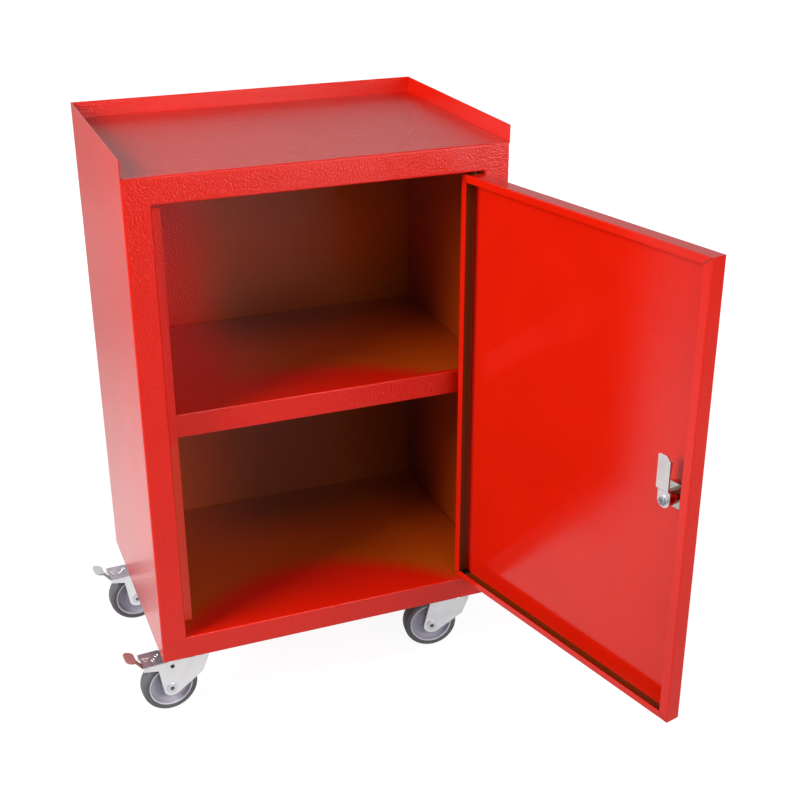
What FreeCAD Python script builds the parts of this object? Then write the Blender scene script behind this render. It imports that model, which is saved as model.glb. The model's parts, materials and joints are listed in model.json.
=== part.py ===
"""Sheet steel tool cabinet with one hinged door, a tray top and four swivel castors.

Millimetres, +Z up. The origin lies on the floor at the middle of the cabinet's footprint, +X to the
cabinet's right and +Y to its back. The door stands open, as far as DoorOpenAngle.
"""
import FreeCAD, Part
import math
import os
import types

import Sketcher
from FreeCAD import Placement, Rotation, Vector

SIZES = {
    # Carcass
    "BodyWidth": 500.0,
    "BodyDepth": 350.0,
    "BodyHeight": 674.0,  # underside to tray surface
    "LipHeight": 22.0,
    "SheetGauge": 1.2,
    "BendRadius": 1.2,  # inside radius of every fold
    "StileWidth": 34.0,
    "TopRailHeight": 35.0,
    "BottomRailHeight": 33.0,
    "JambDepth": 25.0,
    "StopFlangeWidth": 14.6,
    "StopFlangeEndGap": 10.0,
    "TopRailUpturn": 12.0,
    "TrayFlange": 15.0,
    "FloorFlange": 20.0,
    # Shelf
    "ShelfLevel": 350.0,  # underside of the cabinet to shelf surface
    "ShelfSetback": 35.0,
    "ShelfApron": 34.0,
    "ShelfReturn": 14.0,
    "ShelfFlange": 20.0,
    # Door
    "DoorOpenAngle": 104.0,
    "DoorThickness": 21.5,
    "DoorSideGap": 2.5,
    "DoorTopGap": 3.0,
    "DoorBottomGap": 2.5,
    "DoorGauge": 1.2,
    "DoorBendRadius": 1.5,  # outside radius
    "HingeLip": 10.0,
    "FreeLip": 13.0,
    "EndLip": 10.0,
    # Pivots
    "PivotFromEdge": 9.0,
    "PivotFromFace": 6.5,
    "PivotRadius": 2.5,
    "PivotHeadFlats": 8.0,
    "PivotHeadHeight": 3.5,
    "PivotNutHeight": 4.0,
    "PivotThreadEnd": 2.0,
    "PivotWasherRadius": 5.5,
    "RunningFit": 0.1,  # radial, pin in bore
    "FaceGap": 0.3,  # between faces that turn on each other
    # Lock
    "LockFromFreeEdge": 33.7,
    "LockLevel": 335.0,
    "LockBodyRadius": 9.5,
    "LockBodyReach": 22.5,  # outer skin to inner end
    "LockHeadRadius": 13.0,
    "LockHeadProud": 3.5,
    "LockNutFlats": 32.0,
    "LockNutHeight": 5.0,
    "PlugRadius": 6.5,
    "PlugCollar": 1.3,
    "PlugSquare": 8.0,
    "KeySlotWidth": 1.4,
    "KeySlotHeight": 7.0,
    "KeySlotDepth": 4.0,
    "CamGauge": 2.5,
    "CamWidth": 19.0,
    "CamJoggleStart": 12.5,
    "CamJoggleEnd": 16.5,
    "CamLength": 59.5,
    "CamChamfer": 6.0,
    "CamTopRound": 3.0,
    "CamLugLength": 9.0,
    "CamLugDepth": 1.2,
    "CamLugFromTip": 5.0,
    "CamWasherRadius": 6.0,
    "CamWasherHeight": 1.4,
    "CamScrewRadius": 3.0,
    "CamScrewDepth": 8.0,
    "CamScrewHeadRadius": 5.0,
    "CamScrewHeadHeight": 3.2,
    # Castors
    "CastorFromSide": 48.0,
    "CastorFromEnd": 52.0,
    "CastorPlateLength": 77.0,
    "CastorPlateWidth": 67.0,
    "CastorPlateGauge": 3.0,
    "CastorPlateRound": 6.0,
    "BoltPitchLength": 61.0,
    "BoltPitchWidth": 51.0,
    "BoltRadius": 4.0,
    "BoltHoleRadius": 4.25,
    "BoltHeadFlats": 13.0,
    "BoltHeadHeight": 5.3,
    "BoltNutHeight": 6.5,
    "BoltThreadEnd": 2.0,
    "CornerPlateWidth": 90.0,
    "CornerPlateDepth": 94.0,
    "CornerPlateGauge": 3.0,
    "CornerPlateChamfer": 20.0,
    "CornerPlateHoleRadius": 12.0,
    "RaceDepth": 11.0,
    "RaceTopRadius": 27.0,
    "RaceRadius": 24.0,
    "DomeHeight": 7.2,
    "DomeRadius": 23.0,
    "KingpinRadius": 6.0,
    "KingpinHeadRadius": 10.0,
    "KingpinHeadHeight": 4.0,
    # Fork
    "ForkInnerWidth": 29.0,
    "ForkGauge": 2.5,
    "ForkBendRadius": 1.5,  # inside radius
    "Trail": 35.0,
    "CrownRear": 24.0,
    "CrownFront": 24.0,
    "LegShoulderRear": 38.0,
    "LegShoulderDrop": 8.5,
    "LegElbowFront": 12.0,
    "LegElbowRise": 16.0,  # above the axle
    "AxleEndRadius": 12.0,
    # Wheel
    "WheelRadius": 40.0,
    "TyreClearance": 4.0,  # between tread and crown
    "TyreWidth": 24.0,
    "TyreThickness": 8.0,
    "TyreShoulder": 5.0,
    "RimWidth": 22.0,
    "RimThickness": 3.5,
    "WebThickness": 6.0,
    "HubRadius": 10.5,
    "AxleRadius": 6.0,
    "AxleBore": 3.0,
    "AxleHeadRadius": 7.5,
    "AxleHeadHeight": 1.2,
    # Brake
    "ArmReach": 73.0,
    "ArmDepth": 6.2,  # at its end
    "ArmRoot": 52.0,
    "ArmRootDepth": 10.6,
    "BrakePlateOuter": 72.7,
    "BrakePlateInner": 43.0,
    "BrakeGauge": 1.5,
    "BrakeLugOuter": 50.0,
    "BrakeLugInner": 27.0,
    "BrakeLugDepth": 12.7,
    "BrakeRivetReach": 32.0,
    "BrakeRivetDrop": 8.2,
    "BrakeRivetRadius": 2.0,
    "BrakeRivetHeadRadius": 3.2,
    "BrakeRivetHeadHeight": 0.9,
    "BrakePinReach": 65.0,
    "BrakePinDrop": 4.3,
    "BrakePinRadius": 2.2,
    "BrakePinHeadRadius": 3.2,
    "BrakePinHeadHeight": 0.9,
    "PedalHubRadius": 3.9,
    "PedalHubWidth": 20.0,
    "PedalGauge": 2.4,
    "PedalNeckWidth": 9.0,
    "PedalNeckOffset": 6.0,
    "PedalElbow": 72.3,
    "PedalNeckTilt": 52.0,
    "PedalTabStart": 81.4,
    "PedalTabStartRise": 13.4,
    "PedalTabLength": 13.8,
    "PedalTabTilt": 17.0,
    "PedalTabWidth": 27.0,
    "PedalTabRound": 6.5,
    "PedalTabHeelRound": 6.5,
    "PedalNoseGap": 0.3,  # nose to tread when pressed
    "PedalNoseWidth": 3.0,
    "PedalTravel": 15.0,
}

CASTOR_YAWS = {"fl": 4.0, "fr": -9.0, "bl": 2.5, "br": -9.0}
BRAKED = ("fl", "bl")
SHEET = "Sizes"


class Size:
    """A number together with the spreadsheet expression that gives it."""

    def __init__(self, value, text):
        self.value = value
        self.text = text

    def __add__(self, other):
        other = as_size(other)
        return Size(self.value + other.value, f"({self.text} + {other.text})")

    def __sub__(self, other):
        other = as_size(other)
        return Size(self.value - other.value, f"({self.text} - {other.text})")

    def __mul__(self, other):
        other = as_size(other)
        return Size(self.value * other.value, f"({self.text} * {other.text})")

    def __truediv__(self, other):
        other = as_size(other)
        return Size(self.value / other.value, f"({self.text} / {other.text})")

    def __neg__(self):
        return Size(-self.value, f"(-1 * {self.text})")

    __radd__ = __add__
    __rmul__ = __mul__


def as_size(number):
    """The number as a Size."""
    return number if isinstance(number, Size) else Size(float(number), str(number))


def hypotenuse(a, b):
    """The long side over two sides at right angles."""
    return Size(math.hypot(a.value, b.value), f"hypot({a.text}; {b.text})")


def cosine(degrees):
    """Cosine of an angle in degrees."""
    return Size(math.cos(math.radians(degrees.value)), f"cos({degrees.text} * 1deg)")


def sine(degrees):
    """Sine of an angle in degrees."""
    return Size(math.sin(math.radians(degrees.value)), f"sin({degrees.text} * 1deg)")


S = types.SimpleNamespace(**{name: Size(number, f"{SHEET}.{name}") for name, number in SIZES.items()})

# Lengths that several pieces share
ZERO = as_size(0)
GAUGE = S.SheetGauge
OUTER_BEND = S.BendRadius + GAUGE
OPENING_WIDTH = S.BodyWidth - 2 * S.StileWidth
OPENING_TOP = S.BodyHeight - S.TopRailHeight
INNER_BACK = S.BodyDepth - GAUGE
DOOR_WIDTH = OPENING_WIDTH - 2 * S.DoorSideGap
DOOR_BOTTOM = S.BottomRailHeight + S.DoorBottomGap
DOOR_TOP = OPENING_TOP - S.DoorTopGap
DOOR_FREE_EDGE = S.PivotFromEdge - DOOR_WIDTH
PIVOT_X = S.BodyWidth - S.StileWidth - S.DoorSideGap - S.PivotFromEdge
HEX_CORNER = 1 / math.cos(math.radians(30))
CAM_SEAT = S.LockBodyReach + S.PlugCollar
CAM_ARM = S.JambDepth + GAUGE + S.FaceGap + S.CamLugDepth  # the lug passes behind the stop flange
CROWN_UNDER = 2 * S.WheelRadius + S.TyreClearance
CROWN_TOP = CROWN_UNDER + S.ForkGauge
CASTOR_HEIGHT = CROWN_TOP + S.DomeHeight + S.FaceGap + S.RaceDepth + S.CastorPlateGauge
TYRE_SEAT = S.WheelRadius - S.TyreThickness
RIM_INNER = TYRE_SEAT - S.RimThickness
DOME_TOP = CROWN_TOP + S.DomeHeight
DOME_UNDER = DOME_TOP - S.ForkGauge
FORK_WIDTH = S.ForkInnerWidth + 2 * S.ForkGauge
HUB_LENGTH = S.ForkInnerWidth - 2 * S.FaceGap

doc = FreeCAD.newDocument("ToolCabinet")
exported = []


# --- drawing helpers -------------------------------------------------------------------------

def fill_sheet():
    """Writes every driving dimension into the spreadsheet under its alias."""
    sheet = doc.addObject("Spreadsheet::Sheet", SHEET)
    for row, (name, number) in enumerate(SIZES.items(), start=1):
        sheet.set(f"A{row}", name)
        sheet.set(f"B{row}", str(number))
        sheet.setAlias(f"B{row}", name)
    doc.recompute()


def bind(target, prop, size):
    """Ties a property to the sheet."""
    target.setExpression(prop, as_size(size).text)


def new_body(name):
    """An empty PartDesign body."""
    return doc.addObject("PartDesign::Body", name)


def new_sketch(body, name, role, offset):
    """A sketch on one of the body's origin planes, moved along its normal by the offset."""
    sketch = body.newObject("Sketcher::SketchObject", name)
    plane = next(item for item in body.Origin.OriginFeatures if item.Role == role)
    sketch.AttachmentSupport = [(plane, "")]
    sketch.MapMode = "FlatFace"
    if offset is not None:
        bind(sketch, "AttachmentOffset.Base.z", offset)
    return sketch


def fix_point(sketch, geometry, position, x, y):
    """Holds one point of a sketch at sheet-driven coordinates."""
    for kind, size in (("DistanceX", as_size(x)), ("DistanceY", as_size(y))):
        index = sketch.addConstraint(
            Sketcher.Constraint(kind, -1, 1, geometry, position, size.value)
        )
        sketch.setExpression(f"Constraints[{index}]", size.text)


def step_towards(start, end, distance):
    """The point at the distance from start towards end, along an axis-parallel edge."""
    moved = []
    for a, b in zip(start, end):
        gap = b.value - a.value
        if abs(gap) < 1e-9:
            moved.append(a)
        elif gap > 0:
            moved.append(a + distance)
        else:
            moved.append(a - distance)
    return tuple(moved)


def polygon(body, name, role, points, rounds=None, offset=None):
    """A closed outline through sheet-driven points, with arcs at the corners named in rounds."""
    sketch = new_sketch(body, name, role, offset)
    corners = [tuple(as_size(value) for value in point) for point in points]
    rounds = rounds or {}
    path = []
    for index, corner in enumerate(corners):
        if index not in rounds:
            path.append((corner, None))
            continue
        radius = as_size(rounds[index])
        before = step_towards(corner, corners[index - 1], radius)
        after = step_towards(corner, corners[(index + 1) % len(corners)], radius)
        path.append((before, (corner, radius)))
        path.append((after, None))
    ends = [(point, path[(index + 1) % len(path)][0], arc) for index, (point, arc) in enumerate(path)]
    for start, end, arc in ends:
        first = Vector(start[0].value, start[1].value, 0)
        last = Vector(end[0].value, end[1].value, 0)
        if arc is None:
            sketch.addGeometry(Part.LineSegment(first, last), False)
            continue
        corner = Vector(arc[0][0].value, arc[0][1].value, 0)
        centre = first + last - corner
        middle = centre + (corner - centre).normalize() * arc[1].value
        if (middle - first).cross(last - middle).z < 0:  # a sketch's arcs run anticlockwise
            first, last = last, first
        sketch.addGeometry(Part.Arc(first, middle, last), False)
    add_loop_constraints(sketch, ends)
    sketch.recompute()
    return sketch


def add_loop_constraints(sketch, ends):
    """Joins the pieces of a closed outline end to end and ties them to the sheet."""
    count = len(ends)
    joints = []
    for index, (start, end, arc) in enumerate(ends):
        first, last = 1, 2
        if arc is not None:
            drawn = sketch.Geometry[index].StartPoint
            if drawn.distanceToPoint(Vector(start[0].value, start[1].value, 0)) > 1e-6:
                first, last = 2, 1
        joints.append((first, last))
    for index in range(count):
        following = (index + 1) % count
        sketch.addConstraint(Sketcher.Constraint(
            "Coincident", index, joints[index][1], following, joints[following][0]
        ))
    for index, (start, end, arc) in enumerate(ends):
        fix_point(sketch, index, joints[index][0], *start)
        if arc is not None:
            number = sketch.addConstraint(Sketcher.Constraint("Radius", index, arc[1].value))
            sketch.setExpression(f"Constraints[{number}]", arc[1].text)


def rectangle(body, name, role, low, high, offset=None, rounds=None):
    """A rectangle between two opposite corners."""
    points = [(low[0], low[1]), (high[0], low[1]), (high[0], high[1]), (low[0], high[1])]
    return polygon(body, name, role, points, rounds, offset)


def circles(body, name, role, centres, radius, offset=None):
    """Equal circles about sheet-driven centres."""
    sketch = new_sketch(body, name, role, offset)
    radius = as_size(radius)
    for index, (x, y) in enumerate(centres):
        x, y = as_size(x), as_size(y)
        sketch.addGeometry(
            Part.Circle(Vector(x.value, y.value, 0), Vector(0, 0, 1), radius.value), False
        )
        number = sketch.addConstraint(Sketcher.Constraint("Radius", index, radius.value))
        sketch.setExpression(f"Constraints[{number}]", radius.text)
        fix_point(sketch, index, 3, x, y)
    sketch.recompute()
    return sketch


def extrude(body, kind, sketch, length, side="One side", reverse=False):
    """A pad or a pocket of the sketch; a pocket without a length goes through everything."""
    feature = body.newObject(f"PartDesign::{kind}", f"{sketch.Name}_{kind}")
    feature.Profile = sketch
    feature.SideType = side
    feature.Reversed = reverse
    if length is None:
        feature.Type = "ThroughAll"
    else:
        bind(feature, "Length", length)
    feature.recompute()
    return feature


def pad(body, sketch, length, side="One side", reverse=False):
    """Material along the sketch's normal."""
    return extrude(body, "Pad", sketch, length, side, reverse)


def pocket(body, sketch, length=None, side="One side", reverse=False):
    """A cut; without reverse it runs against the sketch's normal."""
    return extrude(body, "Pocket", sketch, length, side, reverse)


def turn(body, kind, sketch):
    """A full revolution or groove of a sketch about its vertical axis."""
    feature = body.newObject(f"PartDesign::{kind}", f"{sketch.Name}_{kind}")
    feature.Profile = sketch
    feature.ReferenceAxis = (sketch, ["V_Axis"])
    feature.Angle = 360
    feature.recompute()
    return feature


def edges_along(shape, axis, places):
    """Names of the straight edges parallel to an axis that pass through one of the places."""
    others = [index for index in range(3) if index != axis]
    found = []
    for number, edge in enumerate(shape.Edges, start=1):
        if len(edge.Vertexes) != 2 or edge.Curve.TypeId != "Part::GeomLine":
            continue
        start, end = (vertex.Point for vertex in edge.Vertexes)
        if any(abs(start[index] - end[index]) > 1e-6 for index in others):
            continue
        for place in places:
            if all(abs(start[o] - as_size(v).value) < 1e-4 for o, v in zip(others, place)):
                found.append(f"Edge{number}")
    return found


def dress(body, kind, base, edges, prop, size):
    """A fillet or chamfer of the named edges."""
    if not edges:
        raise RuntimeError(f"{body.Name}: no edge found for a {kind}")
    feature = body.newObject(f"PartDesign::{kind}", f"{body.Name}_{kind}")
    feature.Base = (base, edges)
    bind(feature, prop, size)
    feature.recompute()
    return feature


def fillet(body, base, edges, radius):
    """Rounds the named edges."""
    return dress(body, "Fillet", base, edges, "Radius", radius)


def finish(part, label, placement=None):
    """Names a sub-part, puts it in its place and lists it for export."""
    part.Label = label
    if placement is not None:
        part.Placement = placement
    exported.append(part)
    return part


def mirrored(source, normal, name):
    """The source's mirror image about a plane through the origin."""
    image = doc.addObject("Part::Mirroring", name)
    image.Source = source
    image.Normal = normal
    image.recompute()
    return image


def group(parts, name):
    """Separate solids kept as one object."""
    compound = doc.addObject("Part::Compound", name)
    compound.Links = parts
    compound.recompute()
    return compound


def four_corners(part, name):
    """The part at all four corners, mirrored left to right and front to back."""
    pair = group([part, mirrored(part, Vector(1, 0, 0), f"{name}_x")], f"{name}_pair")
    return group([pair, mirrored(pair, Vector(0, 1, 0), f"{name}_y")], f"{name}_group")


def cylinder(name, radius, height, level=ZERO):
    """A Part cylinder on the Z axis from the level upward."""
    solid = doc.addObject("Part::Cylinder", name)
    bind(solid, "Radius", radius)
    bind(solid, "Height", height)
    bind(solid, "Placement.Base.z", level)
    solid.recompute()
    return solid


def hexagon(name, flats, height, level=ZERO):
    """A Part prism on the Z axis, measured across flats."""
    solid = doc.addObject("Part::Prism", name)
    solid.Polygon = 6
    bind(solid, "Circumradius", flats / 2 * HEX_CORNER)
    bind(solid, "Height", height)
    bind(solid, "Placement.Base.z", level)
    solid.recompute()
    return solid


def boolean(kind, base, tool, name):
    """A Part cut or fuse of two solids."""
    result = doc.addObject(f"Part::{kind}", name)
    result.Base = base
    result.Tool = tool
    result.recompute()
    return result


# --- frames of the assembly ------------------------------------------------------------------

def carcass_frame():
    """From the cabinet's front left bottom corner to the assembly's origin."""
    return Placement(
        Vector(-S.BodyWidth.value / 2, -S.BodyDepth.value / 2, CASTOR_HEIGHT.value), Rotation()
    )


def door_frame():
    """Origin on the pivot axis at the cabinet's underside; X runs along the door to its hinge edge."""
    swing = Placement(
        Vector(PIVOT_X.value, S.PivotFromFace.value, 0),
        Rotation(Vector(0, 0, 1), S.DoorOpenAngle.value),
    )
    return carcass_frame().multiply(swing)


def lock_frame():
    """Origin on the door's outer skin; Z runs into the cabinet, Y up, X to the free edge."""
    seat = Placement(
        Vector(
            (DOOR_FREE_EDGE + S.LockFromFreeEdge).value, -S.PivotFromFace.value, S.LockLevel.value
        ),
        Rotation(Vector(0, 1, 1), 180),
    )
    return door_frame().multiply(seat)


def castor_frame(corner):
    """Origin on the floor under the swivel axis; the wheel trails along -X."""
    side = -1 if corner.endswith("l") else 1
    end = -1 if corner.startswith("f") else 1
    place = Vector(
        side * (S.BodyWidth / 2 - S.CastorFromSide).value,
        end * (S.BodyDepth / 2 - S.CastorFromEnd).value,
        0,
    )
    return Placement(place, Rotation(Vector(0, 0, 1), CASTOR_YAWS[corner]))


def wheel_frame(corner):
    """Origin at the wheel's centre with Z along the axle."""
    seat = Placement(
        Vector(-S.Trail.value, 0, S.WheelRadius.value), Rotation(Vector(1, 0, 0), 90)
    )
    return castor_frame(corner).multiply(seat)


# --- carcass ---------------------------------------------------------------------------------

def make_sides():
    """Both side panels, each one sheet folded into wall, stile, jamb and stop flange."""
    body = new_body("SidePanel")
    jamb_in = S.StileWidth - GAUGE
    flange_end = S.StileWidth + S.StopFlangeWidth
    flange_back = S.JambDepth + GAUGE
    folded = [
        (ZERO, ZERO), (S.StileWidth, ZERO), (S.StileWidth, S.JambDepth),
        (flange_end, S.JambDepth), (flange_end, flange_back), (jamb_in, flange_back),
        (jamb_in, GAUGE), (GAUGE, GAUGE), (GAUGE, S.BodyDepth), (ZERO, S.BodyDepth),
    ]
    bends = {
        0: OUTER_BEND, 1: OUTER_BEND, 2: S.BendRadius, 5: OUTER_BEND, 6: S.BendRadius,
        7: S.BendRadius,
    }
    opening = polygon(
        body, "SideAtOpening", "XY_Plane", folded, bends, offset=S.BottomRailHeight
    )
    pad(body, opening, OPENING_TOP - S.BottomRailHeight)
    plain = [
        (ZERO, ZERO), (S.StileWidth, ZERO), (S.StileWidth, GAUGE), (GAUGE, GAUGE),
        (GAUGE, S.BodyDepth), (ZERO, S.BodyDepth),
    ]
    corner = {0: OUTER_BEND, 3: S.BendRadius}
    foot = polygon(body, "SideAtBottomRail", "XY_Plane", plain, corner)
    pad(body, foot, S.BottomRailHeight)
    head = polygon(body, "SideAtTopRail", "XY_Plane", plain, corner, offset=OPENING_TOP)
    pad(body, head, S.TopRailHeight - GAUGE)
    lip = rectangle(
        body, "SideLip", "XY_Plane", (ZERO, ZERO), (GAUGE, S.BodyDepth), S.BodyHeight - GAUGE
    )
    pad(body, lip, S.LipHeight + GAUGE)
    low, high = (S.StileWidth, S.JambDepth), (flange_end, flange_back)
    for name, level in (
        ("StopFlangeFoot", S.BottomRailHeight),
        ("StopFlangeHead", OPENING_TOP - S.StopFlangeEndGap),
    ):
        notch = rectangle(body, name, "XY_Plane", low, high, level)
        pocket(body, notch, S.StopFlangeEndGap, reverse=True)
    finish(body, "left_side", carcass_frame())
    finish(mirrored(body, Vector(1, 0, 0), "RightSide"), "right_side")


def make_back():
    """The back panel between the sides, which runs up as the tray's back lip."""
    body = new_body("BackPanel")
    sheet = rectangle(
        body, "BackSheet", "XY_Plane", (GAUGE, INNER_BACK), (S.BodyWidth - GAUGE, S.BodyDepth)
    )
    pad(body, sheet, S.BodyHeight + S.LipHeight)
    finish(body, "back_panel", carcass_frame())


def fold_strips(body, name, top, flange, start):
    """The sheet beside the middle section, folded down along each side wall."""
    inner = S.StileWidth
    for side, mirror in (("Left", False), ("Right", True)):
        points = [
            (GAUGE, top), (inner, top), (inner, top - GAUGE), (2 * GAUGE, top - GAUGE),
            (2 * GAUGE, top - flange), (GAUGE, top - flange),
        ]
        if mirror:
            points = [(S.BodyWidth - x, z) for x, z in points]
        strip = polygon(
            body, f"{name}{side}", "XZ_Plane", points, {0: OUTER_BEND, 3: S.BendRadius},
            offset=-start,
        )
        pad(body, strip, INNER_BACK - start, reverse=True)


def make_tray():
    """Tray top: the top rail with its return in front, flanges along the back and the sides."""
    body = new_body("TrayTop")
    top = S.BodyHeight
    under = top - GAUGE
    inner_jamb = S.JambDepth - GAUGE
    section = [
        (ZERO, OPENING_TOP), (S.JambDepth, OPENING_TOP),
        (S.JambDepth, OPENING_TOP + S.TopRailUpturn), (inner_jamb, OPENING_TOP + S.TopRailUpturn),
        (inner_jamb, OPENING_TOP + GAUGE), (GAUGE, OPENING_TOP + GAUGE), (GAUGE, under),
        (INNER_BACK - GAUGE, under), (INNER_BACK - GAUGE, top - S.TrayFlange),
        (INNER_BACK, top - S.TrayFlange), (INNER_BACK, top), (ZERO, top),
    ]
    bends = {
        0: OUTER_BEND, 1: OUTER_BEND, 4: S.BendRadius, 5: S.BendRadius, 6: S.BendRadius,
        7: S.BendRadius, 10: OUTER_BEND, 11: OUTER_BEND,
    }
    middle = polygon(body, "TraySection", "YZ_Plane", section, bends, offset=S.StileWidth)
    pad(body, middle, OPENING_WIDTH)
    fold_strips(body, "TrayStrip", top, S.TrayFlange, ZERO)
    clear = rectangle(
        body, "StileClearance", "XY_Plane", (ZERO, ZERO), (S.StileWidth, S.JambDepth),
        top - S.TrayFlange,
    )
    pocket(body, clear, S.TrayFlange - GAUGE, reverse=True)
    clear = rectangle(
        body, "HingeStileClearance", "XY_Plane", (S.BodyWidth - S.StileWidth, ZERO),
        (S.BodyWidth, S.JambDepth), top - S.TrayFlange,
    )
    pocket(body, clear, S.TrayFlange - GAUGE, reverse=True)
    bore = circles(
        body, "UpperPivotHole", "XY_Plane", [(PIVOT_X, S.PivotFromFace)],
        S.PivotRadius + S.RunningFit, OPENING_TOP,
    )
    pocket(body, bore, GAUGE, reverse=True)
    finish(body, "tray_top", carcass_frame())


def make_base():
    """Base pan: the floor, the bottom rail folded down in front and flanges on the other edges."""
    body = new_body("BasePan")
    top = S.BottomRailHeight
    under = top - GAUGE
    section = [
        (ZERO, ZERO), (GAUGE, ZERO), (GAUGE, under), (INNER_BACK - GAUGE, under),
        (INNER_BACK - GAUGE, top - S.FloorFlange), (INNER_BACK, top - S.FloorFlange),
        (INNER_BACK, top), (ZERO, top),
    ]
    bends = {2: S.BendRadius, 3: S.BendRadius, 6: OUTER_BEND, 7: OUTER_BEND}
    middle = polygon(body, "FloorSection", "YZ_Plane", section, bends, offset=S.StileWidth)
    pad(body, middle, OPENING_WIDTH)
    fold_strips(body, "FloorStrip", top, S.FloorFlange, OUTER_BEND)
    bore = circles(
        body, "LowerPivotHole", "XY_Plane", [(PIVOT_X, S.PivotFromFace)],
        S.PivotRadius + S.RunningFit, under,
    )
    pocket(body, bore, GAUGE, reverse=True)
    finish(body, "base_pan", carcass_frame())


def make_shelf():
    """Fixed shelf with a deep front apron, a return below it and flanges on the other edges."""
    body = new_body("Shelf")
    top = S.ShelfLevel
    under = top - GAUGE
    front = S.ShelfSetback
    low = top - S.ShelfApron
    section = [
        (front, low), (front + S.ShelfReturn, low), (front + S.ShelfReturn, low + GAUGE),
        (front + GAUGE, low + GAUGE), (front + GAUGE, under), (INNER_BACK - GAUGE, under),
        (INNER_BACK - GAUGE, top - S.ShelfFlange), (INNER_BACK, top - S.ShelfFlange),
        (INNER_BACK, top), (front, top),
    ]
    bends = {
        0: OUTER_BEND, 3: S.BendRadius, 4: S.BendRadius, 5: S.BendRadius, 8: OUTER_BEND,
        9: OUTER_BEND,
    }
    sheet = polygon(body, "ShelfSection", "YZ_Plane", section, bends, offset=GAUGE)
    pad(body, sheet, S.BodyWidth - 2 * GAUGE)
    for name, x in (("ShelfFlangeLeft", GAUGE), ("ShelfFlangeRight", S.BodyWidth - 2 * GAUGE)):
        flange = rectangle(
            body, name, "XY_Plane", (x, front + OUTER_BEND), (x + GAUGE, INNER_BACK - OUTER_BEND),
            top - S.ShelfFlange,
        )
        pad(body, flange, S.ShelfFlange - GAUGE)
    finish(body, "shelf", carcass_frame())


def make_corner_plates():
    """Four plates welded into the hollow base, which the castors are bolted to."""
    body = new_body("CornerPlate")
    left, front = GAUGE, OUTER_BEND
    right, back = S.CornerPlateWidth, S.CornerPlateDepth
    chamfer = S.CornerPlateChamfer
    sheet = polygon(body, "CornerSheet", "XY_Plane", [
        (left, front), (right, front), (right, back - chamfer), (right - chamfer, back),
        (left, back),
    ])
    pad(body, sheet, S.CornerPlateGauge)
    centre = (S.CastorFromSide, S.CastorFromEnd)
    holes = circles(body, "CornerBoltHoles", "XY_Plane", bolt_places(*centre), S.BoltHoleRadius)
    pocket(body, holes, S.CornerPlateGauge, reverse=True)
    hole = circles(body, "CornerKingpinHole", "XY_Plane", [centre], S.CornerPlateHoleRadius)
    pocket(body, hole, S.CornerPlateGauge, reverse=True)
    body.Placement = carcass_frame()
    body.recompute()
    finish(four_corners(body, "CornerPlates"), "corner_plates")


def bolt_places(x, y):
    """The four bolt centres about a castor's swivel axis."""
    half_x, half_y = S.BoltPitchLength / 2, S.BoltPitchWidth / 2
    return [
        (x - half_x, y - half_y), (x + half_x, y - half_y), (x + half_x, y + half_y),
        (x - half_x, y + half_y),
    ]


def make_castor_bolts():
    """Hexagon bolts from below through castor plate and corner plate, with nuts above."""
    plate_under = CASTOR_HEIGHT - S.CastorPlateGauge
    plate_top = CASTOR_HEIGHT + S.CornerPlateGauge
    grip = S.CastorPlateGauge + S.CornerPlateGauge + S.BoltNutHeight + S.BoltThreadEnd
    head = hexagon("BoltHead", S.BoltHeadFlats, S.BoltHeadHeight, plate_under - S.BoltHeadHeight)
    bolt = boolean("Fuse", head, cylinder("BoltShank", S.BoltRadius, grip, plate_under), "Bolt")
    blank = hexagon("NutBlank", S.BoltHeadFlats, S.BoltNutHeight, plate_top)
    bore = cylinder("NutBore", S.BoltRadius, S.BoltNutHeight, plate_top)
    nut = boolean("Cut", blank, bore, "Nut")
    for source, label in ((bolt, "castor_bolts"), (nut, "castor_nuts")):
        source.Placement = Placement(
            Vector(S.BoltPitchLength.value / 2, S.BoltPitchWidth.value / 2, 0), Rotation()
        )
        source.recompute()
        set_of_four = four_corners(source, f"{label}_set")
        set_of_four.Placement = Placement(
            Vector(
                (S.BodyWidth / 2 - S.CastorFromSide).value,
                (S.BodyDepth / 2 - S.CastorFromEnd).value,
                0,
            ),
            Rotation(),
        )
        set_of_four.recompute()
        finish(four_corners(set_of_four, label), label)


# --- door ------------------------------------------------------------------------------------

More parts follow.
